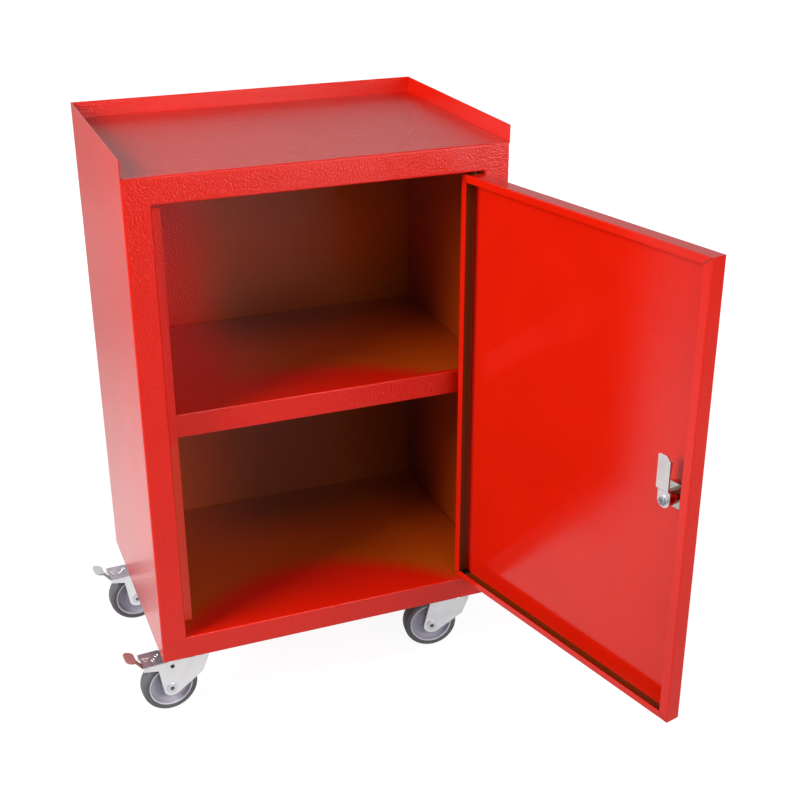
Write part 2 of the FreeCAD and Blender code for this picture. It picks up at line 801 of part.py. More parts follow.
def make_door_pan():
    """The door: a skin with four flanges and return lips folded from one sheet."""
    body = new_body("DoorPan")
    hinge, free = S.PivotFromEdge, DOOR_FREE_EDGE
    skin = -S.PivotFromFace
    inner = skin + S.DoorThickness
    gauge = S.DoorGauge
    outline = rectangle(
        body, "DoorOutline", "XZ_Plane", (free, DOOR_BOTTOM), (hinge, DOOR_TOP), offset=-skin
    )
    block = pad(body, outline, S.DoorThickness, reverse=True)
    folds = []
    for face in (skin, inner):
        folds += edges_along(block.Shape, 0, [(face, DOOR_BOTTOM), (face, DOOR_TOP)])
        folds += edges_along(block.Shape, 2, [(free, face), (hinge, face)])
    fillet(body, block, folds, S.DoorBendRadius)
    cavity = rectangle(
        body, "DoorCavity", "XZ_Plane", (free + gauge, DOOR_BOTTOM + gauge),
        (hinge - gauge, DOOR_TOP - gauge), offset=-(skin + gauge),
    )
    pocket(body, cavity, S.DoorThickness - 2 * gauge)
    mouth = rectangle(
        body, "DoorMouth", "XZ_Plane", (free + S.FreeLip, DOOR_BOTTOM + S.EndLip),
        (hinge - S.HingeLip, DOOR_TOP - S.EndLip), offset=-(inner - gauge),
    )
    pocket(body, mouth, gauge)
    lock_hole = circles(
        body, "LockHole", "XZ_Plane", [(free + S.LockFromFreeEdge, S.LockLevel)],
        S.LockBodyRadius, offset=-skin,
    )
    pocket(body, lock_hole, gauge)
    for name, level in (("FootPivotHole", DOOR_BOTTOM), ("HeadPivotHole", DOOR_TOP - gauge)):
        bore = circles(body, name, "XY_Plane", [(ZERO, ZERO)], S.PivotRadius, offset=level)
        pocket(body, bore, gauge, reverse=True)
    finish(body, "door_pan", door_frame())


def make_pivots():
    """Pivot bolts with their heads inside the pan, nuts in the frame and a spacer below the door."""
    gauge, gap = S.DoorGauge, S.FaceGap
    nut_reach = GAUGE + gap + S.PivotNutHeight + S.PivotThreadEnd
    seat = DOOR_BOTTOM + gauge
    length = gauge + S.DoorBottomGap + nut_reach
    lower = boolean(
        "Fuse",
        hexagon("LowerPivotHead", S.PivotHeadFlats, S.PivotHeadHeight, seat),
        cylinder("LowerPivotShank", S.PivotRadius, length, seat - length),
        "LowerPivot",
    )
    finish(lower, "pivot_bolt_lower", door_frame())
    seat = DOOR_TOP - gauge
    length = gauge + S.DoorTopGap + nut_reach
    upper = boolean(
        "Fuse",
        hexagon("UpperPivotHead", S.PivotHeadFlats, S.PivotHeadHeight, seat - S.PivotHeadHeight),
        cylinder("UpperPivotShank", S.PivotRadius, length, seat),
        "UpperPivot",
    )
    finish(upper, "pivot_bolt_upper", door_frame())
    nuts = []
    for name, level in (
        ("LowerPivotNut", S.BottomRailHeight - GAUGE - gap - S.PivotNutHeight),
        ("UpperPivotNut", OPENING_TOP + GAUGE + gap),
    ):
        blank = hexagon(f"{name}Blank", S.PivotHeadFlats, S.PivotNutHeight, level)
        bore = cylinder(f"{name}Bore", S.PivotRadius, S.PivotNutHeight, level)
        nuts.append(boolean("Cut", blank, bore, name))
    finish(group(nuts, "PivotNuts"), "pivot_nuts", door_frame())
    thickness = S.DoorBottomGap - gap
    disc = cylinder("SpacerDisc", S.PivotWasherRadius, thickness, DOOR_BOTTOM - thickness)
    bore = cylinder("SpacerBore", S.PivotRadius, thickness, DOOR_BOTTOM - thickness)
    finish(boolean("Cut", disc, bore, "PivotSpacer"), "pivot_spacer", door_frame())


# --- lock ------------------------------------------------------------------------------------

def make_lock():
    """Cylinder lock through the skin with a joggled cam on its plug."""
    frame = lock_frame()
    skin_inside = S.DoorGauge
    plug_radius = S.PlugRadius + S.RunningFit

    housing = new_body("LockHousing")
    section = polygon(housing, "HousingSection", "XZ_Plane", [
        (plug_radius, -S.LockHeadProud), (S.LockHeadRadius - S.LockHeadProud / 2, -S.LockHeadProud),
        (S.LockHeadRadius, -S.LockHeadProud / 2), (S.LockHeadRadius, ZERO),
        (S.LockBodyRadius, ZERO), (S.LockBodyRadius, S.LockBodyReach),
        (plug_radius, S.LockBodyReach),
    ])
    turn(housing, "Revolution", section)
    finish(housing, "lock_housing", frame)

    blank = hexagon("LockNutBlank", S.LockNutFlats, S.LockNutHeight, skin_inside)
    bore = cylinder("LockNutBore", S.LockBodyRadius, S.LockNutHeight, skin_inside)
    finish(boolean("Cut", blank, bore, "LockNut"), "lock_nut", frame)

    plug = new_body("LockPlug")
    section = polygon(plug, "PlugSection", "XZ_Plane", [
        (ZERO, -S.LockHeadProud), (S.PlugRadius, -S.LockHeadProud),
        (S.PlugRadius, S.LockBodyReach + S.FaceGap), (S.LockBodyRadius, S.LockBodyReach + S.FaceGap),
        (S.LockBodyRadius, CAM_SEAT), (ZERO, CAM_SEAT),
    ])
    turn(plug, "Revolution", section)
    half = S.PlugSquare / 2
    square = rectangle(plug, "PlugSquareEnd", "XY_Plane", (-half, -half), (half, half), CAM_SEAT)
    pad(plug, square, S.CamGauge)
    slot = rectangle(
        plug, "KeySlot", "XY_Plane", (-S.KeySlotWidth / 2, -S.KeySlotHeight / 2),
        (S.KeySlotWidth / 2, S.KeySlotHeight / 2), -S.LockHeadProud,
    )
    pocket(plug, slot, S.KeySlotDepth, reverse=True)
    screw_hole = circles(
        plug, "ScrewHole", "XY_Plane", [(ZERO, ZERO)], S.CamScrewRadius,
        CAM_SEAT + S.CamGauge - S.CamScrewDepth,
    )
    pocket(plug, screw_hole, S.CamScrewDepth, reverse=True)
    finish(plug, "lock_plug", frame)

    make_cam(frame)
    washer_seat = CAM_SEAT + S.CamGauge
    disc = cylinder("CamWasherDisc", S.CamWasherRadius, S.CamWasherHeight, washer_seat)
    bore = cylinder("CamWasherBore", S.CamScrewRadius, S.CamWasherHeight, washer_seat)
    finish(boolean("Cut", disc, bore, "CamWasher"), "cam_washer", frame)
    head_seat = washer_seat + S.CamWasherHeight
    head = hexagon("CamScrewHead", 2 * S.CamScrewHeadRadius, S.CamScrewHeadHeight, head_seat)
    shank = cylinder(
        "CamScrewShank", S.CamScrewRadius, S.CamScrewDepth + S.CamWasherHeight,
        washer_seat - S.CamScrewDepth,
    )
    finish(boolean("Fuse", head, shank, "CamScrew"), "cam_screw", frame)


def make_cam(frame):
    """The cam: a strip with a rounded hub end, a joggle and an arm with a folded lug."""
    body = new_body("LockCam")
    half = S.CamWidth / 2
    hub_low, hub_high = CAM_SEAT, CAM_SEAT + S.CamGauge
    arm_low, arm_high = CAM_ARM, CAM_ARM + S.CamGauge
    strip = polygon(body, "CamStrip", "YZ_Plane", [
        (-half, hub_low), (S.CamJoggleStart, hub_low), (S.CamJoggleEnd, arm_low),
        (S.CamLength, arm_low), (S.CamLength, arm_high), (S.CamJoggleEnd - S.CamGauge / 2, arm_high),
        (S.CamJoggleStart - S.CamGauge / 2, hub_high), (-half, hub_high),
    ])
    plate = pad(body, strip, S.CamWidth, side="Symmetric")
    hub_corners = edges_along(plate.Shape, 2, [(-half, -half), (half, -half)])
    rounded = fillet(body, plate, hub_corners, half - S.FaceGap / 2)
    tip = edges_along(rounded.Shape, 2, [(half, S.CamLength)])
    cut = dress(body, "Chamfer", rounded, tip, "Size", S.CamChamfer)
    tip = edges_along(cut.Shape, 2, [(-half, S.CamLength)])
    fillet(body, cut, tip, S.CamTopRound)
    lug_top = S.CamLength - S.CamLugFromTip
    lug = rectangle(
        body, "CamLug", "XY_Plane", (half - S.CamGauge, lug_top - S.CamLugLength),
        (half, lug_top), arm_low - S.CamLugDepth,
    )
    pad(body, lug, S.CamLugDepth)
    side = S.PlugSquare / 2
    eye = rectangle(body, "CamEye", "XY_Plane", (-side, -side), (side, side), CAM_SEAT)
    pocket(body, eye, S.CamGauge, reverse=True)
    finish(body, "lock_cam", frame)


# --- castors ---------------------------------------------------------------------------------

def make_castor_plate(corner):
    """Top plate with its bolt holes and the pressed cup of the ball race."""
    body = new_body(f"CastorPlate_{corner}")
    half_x, half_y = S.CastorPlateLength / 2, S.CastorPlateWidth / 2
    under = CASTOR_HEIGHT - S.CastorPlateGauge
    rounds = {index: S.CastorPlateRound for index in range(4)}
    sheet = rectangle(
        body, f"Plate_{corner}", "XY_Plane", (-half_x, -half_y), (half_x, half_y), under, rounds
    )
    pad(body, sheet, S.CastorPlateGauge)
    cup = polygon(body, f"RaceCup_{corner}", "XZ_Plane", [
        (S.KingpinRadius, under), (S.RaceTopRadius, under),
        (S.RaceRadius, under - S.RaceDepth / 2), (S.RaceRadius, under - S.RaceDepth),
        (S.KingpinRadius, under - S.RaceDepth),
    ])
    turn(body, "Revolution", cup)
    holes = circles(
        body, f"PlateHoles_{corner}", "XY_Plane", bolt_places(ZERO, ZERO), S.BoltHoleRadius, under
    )
    pocket(body, holes, S.CastorPlateGauge, reverse=True)
    bore = circles(
        body, f"PlateBore_{corner}", "XY_Plane", [(ZERO, ZERO)], S.KingpinRadius, under
    )
    pocket(body, bore, S.CastorPlateGauge, reverse=True)
    frame = castor_frame(corner)
    frame.Rotation = Rotation()
    finish(body, f"castor_plate_{corner}", frame)


def make_kingpins():
    """Kingpins riveted into the top plates, each with a head under the fork's dome."""
    body = new_body("Kingpin")
    head_top = DOME_UNDER - S.FaceGap
    section = polygon(body, "KingpinSection", "XZ_Plane", [
        (ZERO, head_top - S.KingpinHeadHeight), (S.KingpinHeadRadius, head_top - S.KingpinHeadHeight),
        (S.KingpinHeadRadius, head_top), (S.KingpinRadius, head_top),
        (S.KingpinRadius, CASTOR_HEIGHT), (ZERO, CASTOR_HEIGHT),
    ])
    turn(body, "Revolution", section)
    body.Placement = castor_frame("br")
    body.recompute()
    finish(four_corners(body, "Kingpins"), "kingpins")


def leg_outline(braked):
    """Side view of the fork, with the arms that carry the brake where there is one."""
    foot = S.WheelRadius - S.AxleEndRadius
    heel = S.Trail + S.AxleEndRadius
    shoulder = CROWN_TOP - S.LegShoulderDrop
    outline = [
        (-S.CrownRear, CROWN_TOP), (S.CrownFront, CROWN_TOP),
        (S.LegElbowFront, S.WheelRadius + S.LegElbowRise), (-(heel - 1.5 * S.AxleEndRadius), foot),
        (-heel, foot), (-heel, S.WheelRadius),
    ]
    if not braked:
        return outline + [(-S.LegShoulderRear, shoulder)]
    return outline + [
        (-S.ArmRoot, CROWN_UNDER - S.ArmRootDepth), (-S.ArmReach, CROWN_UNDER - S.ArmDepth),
        (-S.ArmReach, CROWN_UNDER),
        (-S.LegShoulderRear, CROWN_UNDER),
    ]


def make_fork(corner):
    """Fork pressed from one sheet: a crown with the lower ball race dome and two legs."""
    braked = corner in BRAKED
    body = new_body(f"Fork_{corner}")
    side = polygon(body, f"ForkSide_{corner}", "XZ_Plane", leg_outline(braked))
    blank = pad(body, side, FORK_WIDTH, side="Symmetric")
    foot = S.WheelRadius - S.AxleEndRadius
    heel = S.Trail + S.AxleEndRadius
    ends = edges_along(blank.Shape, 1, [(-heel, foot), (-(heel - 1.5 * S.AxleEndRadius), foot)])
    rounded = fillet(body, blank, ends, S.AxleEndRadius * 0.98)
    half = FORK_WIDTH / 2
    tops = edges_along(rounded.Shape, 0, [(-half, CROWN_TOP), (half, CROWN_TOP)])
    fillet(body, rounded, tops, S.ForkBendRadius + S.ForkGauge)
    reach = S.ArmReach + S.AxleEndRadius
    inside = polygon(body, f"ForkInside_{corner}", "XZ_Plane", [
        (-reach, ZERO), (reach, ZERO), (reach, CROWN_UNDER), (-S.CrownRear, CROWN_UNDER),
        (-S.CrownRear, CROWN_TOP), (-reach, CROWN_TOP),
    ])
    pocket(body, inside, S.ForkInnerWidth, side="Symmetric")
    dome = polygon(body, f"Dome_{corner}", "XZ_Plane", [
        (ZERO, CROWN_UNDER), (S.DomeRadius, CROWN_UNDER), (S.DomeRadius, CROWN_TOP),
        (S.DomeRadius - S.ForkGauge, DOME_TOP), (ZERO, DOME_TOP),
    ])
    turn(body, "Revolution", dome)
    hollow = polygon(body, f"DomeInside_{corner}", "XZ_Plane", [
        (ZERO, CROWN_UNDER), (S.DomeRadius - S.ForkGauge, CROWN_UNDER),
        (S.DomeRadius - 2 * S.ForkGauge, DOME_UNDER), (ZERO, DOME_UNDER),
    ])
    turn(body, "Groove", hollow)
    bore = circles(
        body, f"SwivelBore_{corner}", "XY_Plane", [(ZERO, ZERO)], S.KingpinRadius + S.RunningFit,
        DOME_UNDER,
    )
    pocket(body, bore, S.ForkGauge, reverse=True)
    axle = circles(
        body, f"AxleHole_{corner}", "XZ_Plane", [(-S.Trail, S.WheelRadius)], S.AxleRadius
    )
    pocket(body, axle, FORK_WIDTH, side="Symmetric")
    if braked:
        rivets = circles(
            body, f"RivetHoles_{corner}", "XZ_Plane", [rivet_place()], S.BrakeRivetRadius
        )
        pocket(body, rivets, FORK_WIDTH, side="Symmetric")
        pin = circles(body, f"PinHoles_{corner}", "XZ_Plane", [pin_place()], S.BrakePinRadius)
        pocket(body, pin, FORK_WIDTH, side="Symmetric")
    finish(body, f"fork_{corner}", castor_frame(corner))


def make_wheel(corner):
    """Hub with rim and web, the tyre on it and the hollow rivet that is the axle."""
    frame = wheel_frame(corner)
    hub = new_body(f"Hub_{corner}")
    bore = S.AxleRadius + S.RunningFit
    half_hub, half_rim, half_web = HUB_LENGTH / 2, S.RimWidth / 2, S.WebThickness / 2
    section = polygon(hub, f"HubSection_{corner}", "XZ_Plane", [
        (bore, -half_hub), (S.HubRadius, -half_hub), (S.HubRadius, -half_web),
        (RIM_INNER, -half_web), (RIM_INNER, -half_rim), (TYRE_SEAT, -half_rim),
        (TYRE_SEAT, half_rim), (RIM_INNER, half_rim), (RIM_INNER, half_web),
        (S.HubRadius, half_web), (S.HubRadius, half_hub), (bore, half_hub),
    ])
    turn(hub, "Revolution", section)
    finish(hub, f"wheel_hub_{corner}", frame)

    tyre = new_body(f"Tyre_{corner}")
    half = S.TyreWidth / 2
    section = rectangle(
        tyre, f"TyreSection_{corner}", "XZ_Plane", (TYRE_SEAT, -half),
        (S.WheelRadius, half), rounds={1: S.TyreShoulder, 2: S.TyreShoulder},
    )
    turn(tyre, "Revolution", section)
    finish(tyre, f"tyre_{corner}", frame)

    axle = new_body(f"Axle_{corner}")
    half_fork = FORK_WIDTH / 2
    end = half_fork + S.AxleHeadHeight
    section = polygon(axle, f"AxleSection_{corner}", "XZ_Plane", [
        (S.AxleBore, -end), (S.AxleHeadRadius, -end), (S.AxleHeadRadius, -half_fork),
        (S.AxleRadius, -half_fork), (S.AxleRadius, half_fork), (S.AxleHeadRadius, half_fork),
        (S.AxleHeadRadius, end), (S.AxleBore, end),
    ])
    turn(axle, "Revolution", section)
    finish(axle, f"axle_{corner}", frame)


# --- brakes ----------------------------------------------------------------------------------

def rivet_place():
    """Where the cover plate's lugs are riveted to the legs, in the fork's side view."""
    return (-S.BrakeRivetReach, CROWN_UNDER - S.BrakeRivetDrop)


def pin_place():
    """The pedal's axis in the fork's side view."""
    return (-S.BrakePinReach, CROWN_UNDER - S.BrakePinDrop)


def make_brake(corner):
    """Cover plate on the fork's arms, its rivets, the pedal and the pedal's pin."""
    frame = castor_frame(corner)
    half, inner_half = FORK_WIDTH / 2, S.ForkInnerWidth / 2

    plate = new_body(f"BrakePlate_{corner}")
    cover = rectangle(
        plate, f"Cover_{corner}", "XY_Plane", (-S.BrakePlateOuter, -half),
        (-S.BrakePlateInner, half), CROWN_UNDER,
    )
    pad(plate, cover, S.BrakeGauge)
    low = CROWN_UNDER - S.BrakeLugDepth
    lugs = rectangle(
        plate, f"Lugs_{corner}", "XZ_Plane", (-S.BrakeLugOuter, low),
        (-S.BrakeLugInner, CROWN_UNDER),
    )
    pad(plate, lugs, S.ForkInnerWidth, side="Symmetric")
    gap = rectangle(
        plate, f"LugGap_{corner}", "XZ_Plane", (-S.BrakeLugOuter, low),
        (-S.BrakeLugInner, CROWN_UNDER),
    )
    pocket(plate, gap, S.ForkInnerWidth - 2 * S.BrakeGauge, side="Symmetric")
    holes = circles(
        plate, f"LugHoles_{corner}", "XZ_Plane", [rivet_place()], S.BrakeRivetRadius
    )
    pocket(plate, holes, S.ForkInnerWidth, side="Symmetric")
    finish(plate, f"brake_plate_{corner}", frame)

    rivets = []
    for side in (-1, 1):
        head_out = half + S.BrakeRivetHeadHeight
        rivet = new_body(f"BrakeRivet_{corner}_{'near' if side < 0 else 'far'}")
        section = polygon(rivet, f"{rivet.Name}Section", "XZ_Plane", [
            (ZERO, inner_half - S.BrakeGauge), (S.BrakeRivetRadius, inner_half - S.BrakeGauge),
            (S.BrakeRivetRadius, half), (S.BrakeRivetHeadRadius, half),
            (S.BrakeRivetHeadRadius - S.BrakeRivetHeadHeight, head_out), (ZERO, head_out),
        ])
        turn(rivet, "Revolution", section)
        reach, level = rivet_place()
        rivet.Placement = Placement(
            Vector(reach.value, 0, level.value), Rotation(Vector(1, 0, 0), -90 * side)
        )
        rivet.recompute()
        rivets.append(rivet)
    finish(group(rivets, f"BrakeRivets_{corner}"), f"brake_rivets_{corner}", frame)

    pin = new_body(f"BrakePin_{corner}")
    end = half + S.BrakePinHeadHeight
    section = polygon(pin, f"PinSection_{corner}", "XZ_Plane", [
        (ZERO, -end), (S.BrakePinHeadRadius, -end), (S.BrakePinHeadRadius, -half),
        (S.BrakePinRadius, -half), (S.BrakePinRadius, half), (S.BrakePinHeadRadius, half),
        (S.BrakePinHeadRadius, end), (ZERO, end),
    ])
    turn(pin, "Revolution", section)
    reach, level = pin_place()
    seat = Placement(Vector(reach.value, 0, level.value), Rotation(Vector(1, 0, 0), 90))
    finish(pin, f"brake_pin_{corner}", frame.multiply(seat))
    make_pedal(corner, frame)


def make_pedal(corner, frame):
    """The pedal: an eye on the pin with a brake nose, a neck past the cover and a rounded tab."""
    body = new_body(f"BrakePedal_{corner}")
    reach, level = pin_place()
    eye = circles(body, f"PedalEye_{corner}", "XZ_Plane", [(reach, level)], S.PedalHubRadius)
    pad(body, eye, S.PedalHubWidth, side="Symmetric")
    to_wheel = hypotenuse(S.BrakePinReach - S.Trail, S.WheelRadius - level)
    down = ((S.BrakePinReach - S.Trail) / to_wheel, (S.WheelRadius - level) / to_wheel)
    turned = (cosine(S.PedalTravel), sine(S.PedalTravel))
    along = (
        down[0] * turned[0] + down[1] * turned[1],
        down[1] * turned[0] - down[0] * turned[1],
    )
    across = (-along[1], along[0])
    nose_reach = to_wheel - S.WheelRadius - S.PedalNoseGap
    half_nose = S.PedalNoseWidth / 2
    nose = polygon(body, f"PedalNose_{corner}", "XZ_Plane", [
        (reach + across[0] * half_nose, level + across[1] * half_nose),
        (
            reach + along[0] * nose_reach + across[0] * half_nose,
            level + along[1] * nose_reach + across[1] * half_nose,
        ),
        (
            reach + along[0] * nose_reach - across[0] * half_nose,
            level + along[1] * nose_reach - across[1] * half_nose,
        ),
        (reach - across[0] * half_nose, level - across[1] * half_nose),
    ])
    pad(body, nose, S.PedalHubWidth, side="Symmetric")
    half = S.PedalGauge / 2
    slant = cosine(S.PedalNeckTilt) / sine(S.PedalNeckTilt)
    across_neck = S.PedalGauge / sine(S.PedalNeckTilt)
    neck_top = level + S.PedalTabStartRise
    neck_end = -S.PedalElbow - (S.PedalTabStartRise + half) * slant
    neck = polygon(body, f"PedalNeck_{corner}", "XZ_Plane", [
        (reach, level - half), (-S.PedalElbow, level - half), (neck_end, neck_top),
        (neck_end + across_neck, neck_top),
        (-S.PedalElbow - S.PedalGauge * slant + across_neck, level + half), (reach, level + half),
    ], offset=S.PedalNeckOffset - S.PedalNeckWidth / 2)
    pad(body, neck, S.PedalNeckWidth)
    edge = S.PedalTabWidth / 2
    tab = rectangle(
        body, f"PedalTab_{corner}", "XY_Plane", (-S.PedalTabLength, -edge), (half, edge),
        rounds={
            0: S.PedalTabRound, 1: S.PedalTabHeelRound, 2: S.PedalTabHeelRound,
            3: S.PedalTabRound,
        },
    )
    tab.AttachmentOffset = Placement(
        Vector(-S.PedalTabStart.value, 0, (level + S.PedalTabStartRise).value),
        Rotation(Vector(0, 1, 0), S.PedalTabTilt.value),
    )
    tab.recompute()
    pad(body, tab, S.PedalGauge, side="Symmetric")
    bore = circles(
        body, f"PedalBore_{corner}", "XZ_Plane", [(reach, level)],
        S.BrakePinRadius + S.RunningFit,
    )
    pocket(body, bore, FORK_WIDTH, side="Symmetric")
    finish(body, f"brake_pedal_{corner}", frame)


# --- document --------------------------------------------------------------------------------

def check_document():
    """Stops before anything is written if an object failed or a cut removed nothing."""
    failed = [item.Name for item in doc.Objects if {"Invalid", "Error"} & set(item.State)]
    if failed:
        raise RuntimeError(f"failed objects: {failed}")
    for item in doc.Objects:
        if item.TypeId not in ("PartDesign::Pocket", "PartDesign::Groove"):
            continue
        if item.BaseFeature.Shape.Volume - item.Shape.Volume < 1e-3:
            raise RuntimeError(f"{item.Name} removes nothing")
    for part in exported:
        if part.Shape.isNull() or not part.Shape.isValid():
            raise RuntimeError(f"{part.Label} has no valid shape")


def write_steps():
    """One STEP file for each sub-part."""
    os.makedirs("parts", exist_ok=True)
    for part in exported:
        part.Shape.exportStep(os.path.join("parts", f"{part.Label}.step"))


def main():
    """Builds the cabinet and writes its sub-parts."""
    fill_sheet()
    make_sides()
    make_back()
    make_tray()
    make_base()
    make_shelf()
    make_corner_plates()
    make_castor_bolts()
    make_door_pan()
    make_pivots()
    make_lock()
    for corner in CASTOR_YAWS:
        make_castor_plate(corner)
        make_fork(corner)
        make_wheel(corner)
    make_kingpins()
    for corner in BRAKED:
        make_brake(corner)
    doc.recompute()
    check_document()
    write_steps()


main()
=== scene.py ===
"""Looks of a sheet steel tool cabinet with one hinged door, a tray top and four swivel castors.

Metres, +Z up. The origin lies on the floor under the middle of the cabinet, +X to the cabinet's
right and +Y to its back. Sizes in the classes are millimetres, as a maker would give them; only
the studio's are metres.
"""

import json
import logging
import math
from collections.abc import Iterable, Sequence
from dataclasses import dataclass
from enum import Enum

import bmesh
import bpy
from mathutils import Matrix, Vector

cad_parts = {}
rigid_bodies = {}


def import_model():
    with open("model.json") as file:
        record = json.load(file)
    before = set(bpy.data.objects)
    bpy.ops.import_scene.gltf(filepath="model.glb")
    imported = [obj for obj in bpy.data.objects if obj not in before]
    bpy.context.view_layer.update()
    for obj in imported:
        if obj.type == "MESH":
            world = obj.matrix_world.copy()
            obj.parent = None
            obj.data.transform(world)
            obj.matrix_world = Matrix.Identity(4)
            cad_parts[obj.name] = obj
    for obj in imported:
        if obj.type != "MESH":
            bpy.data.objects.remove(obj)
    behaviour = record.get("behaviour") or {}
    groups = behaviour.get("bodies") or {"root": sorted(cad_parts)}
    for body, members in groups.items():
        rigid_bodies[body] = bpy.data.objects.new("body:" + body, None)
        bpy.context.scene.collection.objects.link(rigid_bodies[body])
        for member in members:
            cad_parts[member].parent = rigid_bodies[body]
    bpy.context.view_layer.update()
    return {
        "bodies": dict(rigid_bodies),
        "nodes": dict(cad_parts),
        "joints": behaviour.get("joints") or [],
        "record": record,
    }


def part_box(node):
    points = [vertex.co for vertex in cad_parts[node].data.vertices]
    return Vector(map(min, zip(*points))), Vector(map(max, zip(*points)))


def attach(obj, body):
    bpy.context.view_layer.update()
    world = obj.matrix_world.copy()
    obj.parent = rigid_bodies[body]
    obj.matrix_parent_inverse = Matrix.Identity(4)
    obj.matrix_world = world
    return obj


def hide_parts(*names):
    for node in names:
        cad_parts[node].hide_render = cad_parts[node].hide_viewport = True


MM = 0.001
# Faces that meet at more than this keep a sharp edge between them
SHARP = math.radians(32)
LOG = logging.getLogger("cabinet")

Point = tuple[float, float]
Span = tuple[float, float]
Spot = tuple[float, float, float]
Colour = tuple[float, float, float, float]

WHITE: Colour = (1.0, 1.0, 1.0, 1.0)


# --- colours and nodes ------------------------------------------------------------------------


def linear(hex_colour: str) -> Colour:
    """Turns an sRGB hex colour to linear light.

    Args:
        hex_colour: Six hex digits after a hash sign.

    Returns:
        Red, green, blue and an alpha of one.
    """
    parts = [int(hex_colour[i : i + 2], 16) / 255 for i in (1, 3, 5)]
    light = [c / 12.92 if c <= 0.04045 else ((c + 0.055) / 1.055) ** 2.4 for c in parts]
    return (light[0], light[1], light[2], 1.0)


def add_node(
    tree: bpy.types.NodeTree,
    kind: str,
    inputs: dict[str | int, object] | None = None,
    **settings: object,
) -> bpy.types.Node:
    """Adds a node, sets its own properties, and sets or links its inputs.

    Args:
        tree: Node tree that takes the node.
        kind: Blender's name of the node's type.
        inputs: Input name or number, to a value or to the output that feeds it.
        settings: The node's own properties.

    Returns:
        The new node.
    """
    node = tree.nodes.new(kind)
    for name, value in settings.items():
        setattr(node, name, value)
    for key, value in (inputs or {}).items():
        if isinstance(value, bpy.types.NodeSocket):
            tree.links.new(value, node.inputs[key])
        else:
            node.inputs[key].default_value = value
    return node


@dataclass(frozen=True)
class Limit:
    """Where a share starts and where it is full along one axis, in millimetres."""

    axis: str
    start: float
    full: float
    soft: bool = False
    least: float = 0.0


def share_within(
    tree: bpy.types.NodeTree, axes: bpy.types.Node, rows: Sequence[Sequence[Limit]]
) -> bpy.types.NodeSocket:
    """How far a point lies within every row of limits; in a row, any one limit is enough.

    Args:
        tree: The material's node tree.
        axes: The node that splits the point in metres.
        rows: The limits.

    Returns:
        A factor from none to full.
    """
    factor = None
    for row in rows:
        part = None
        for limit in row:
            ramp = add_node(
                tree,
                "ShaderNodeMapRange",
                {
                    "Value": axes.outputs[limit.axis],
                    "From Min": limit.start * MM,
                    "From Max": limit.full * MM,
                    "To Min": limit.least,
                },
                interpolation_type="SMOOTHSTEP" if limit.soft else "LINEAR",
            ).outputs[0]
            if part is None:
                part = ramp
                continue
            either = {0: part, 1: ramp}
            part = add_node(tree, "ShaderNodeMath", either, operation="MAXIMUM").outputs[0]
        if factor is None:
            factor = part
            continue
        both = {0: factor, 1: part}
        factor = add_node(tree, "ShaderNodeMath", both, operation="MULTIPLY").outputs[0]
    return factor


# --- finishes ---------------------------------------------------------------------------------


@dataclass(frozen=True)
class Finish:
    """A material and how its surface was made."""

    name: str

    def shade(self, tree: bpy.types.NodeTree) -> bpy.types.NodeSocket:
        """Builds the shader and returns its output."""
        raise NotImplementedError

    def material(self) -> bpy.types.Material:
        """Makes the material once and hands the same one to every later caller.

        Returns:
            The Blender material.
        """
        made = bpy.data.materials.get(self.name)
        if made is not None:
            return made
        made = bpy.data.materials.new(self.name)
        made.use_nodes = True
        made.node_tree.nodes.clear()
        surface = self.shade(made.node_tree)
        add_node(made.node_tree, "ShaderNodeOutputMaterial", {"Surface": surface})
        return made


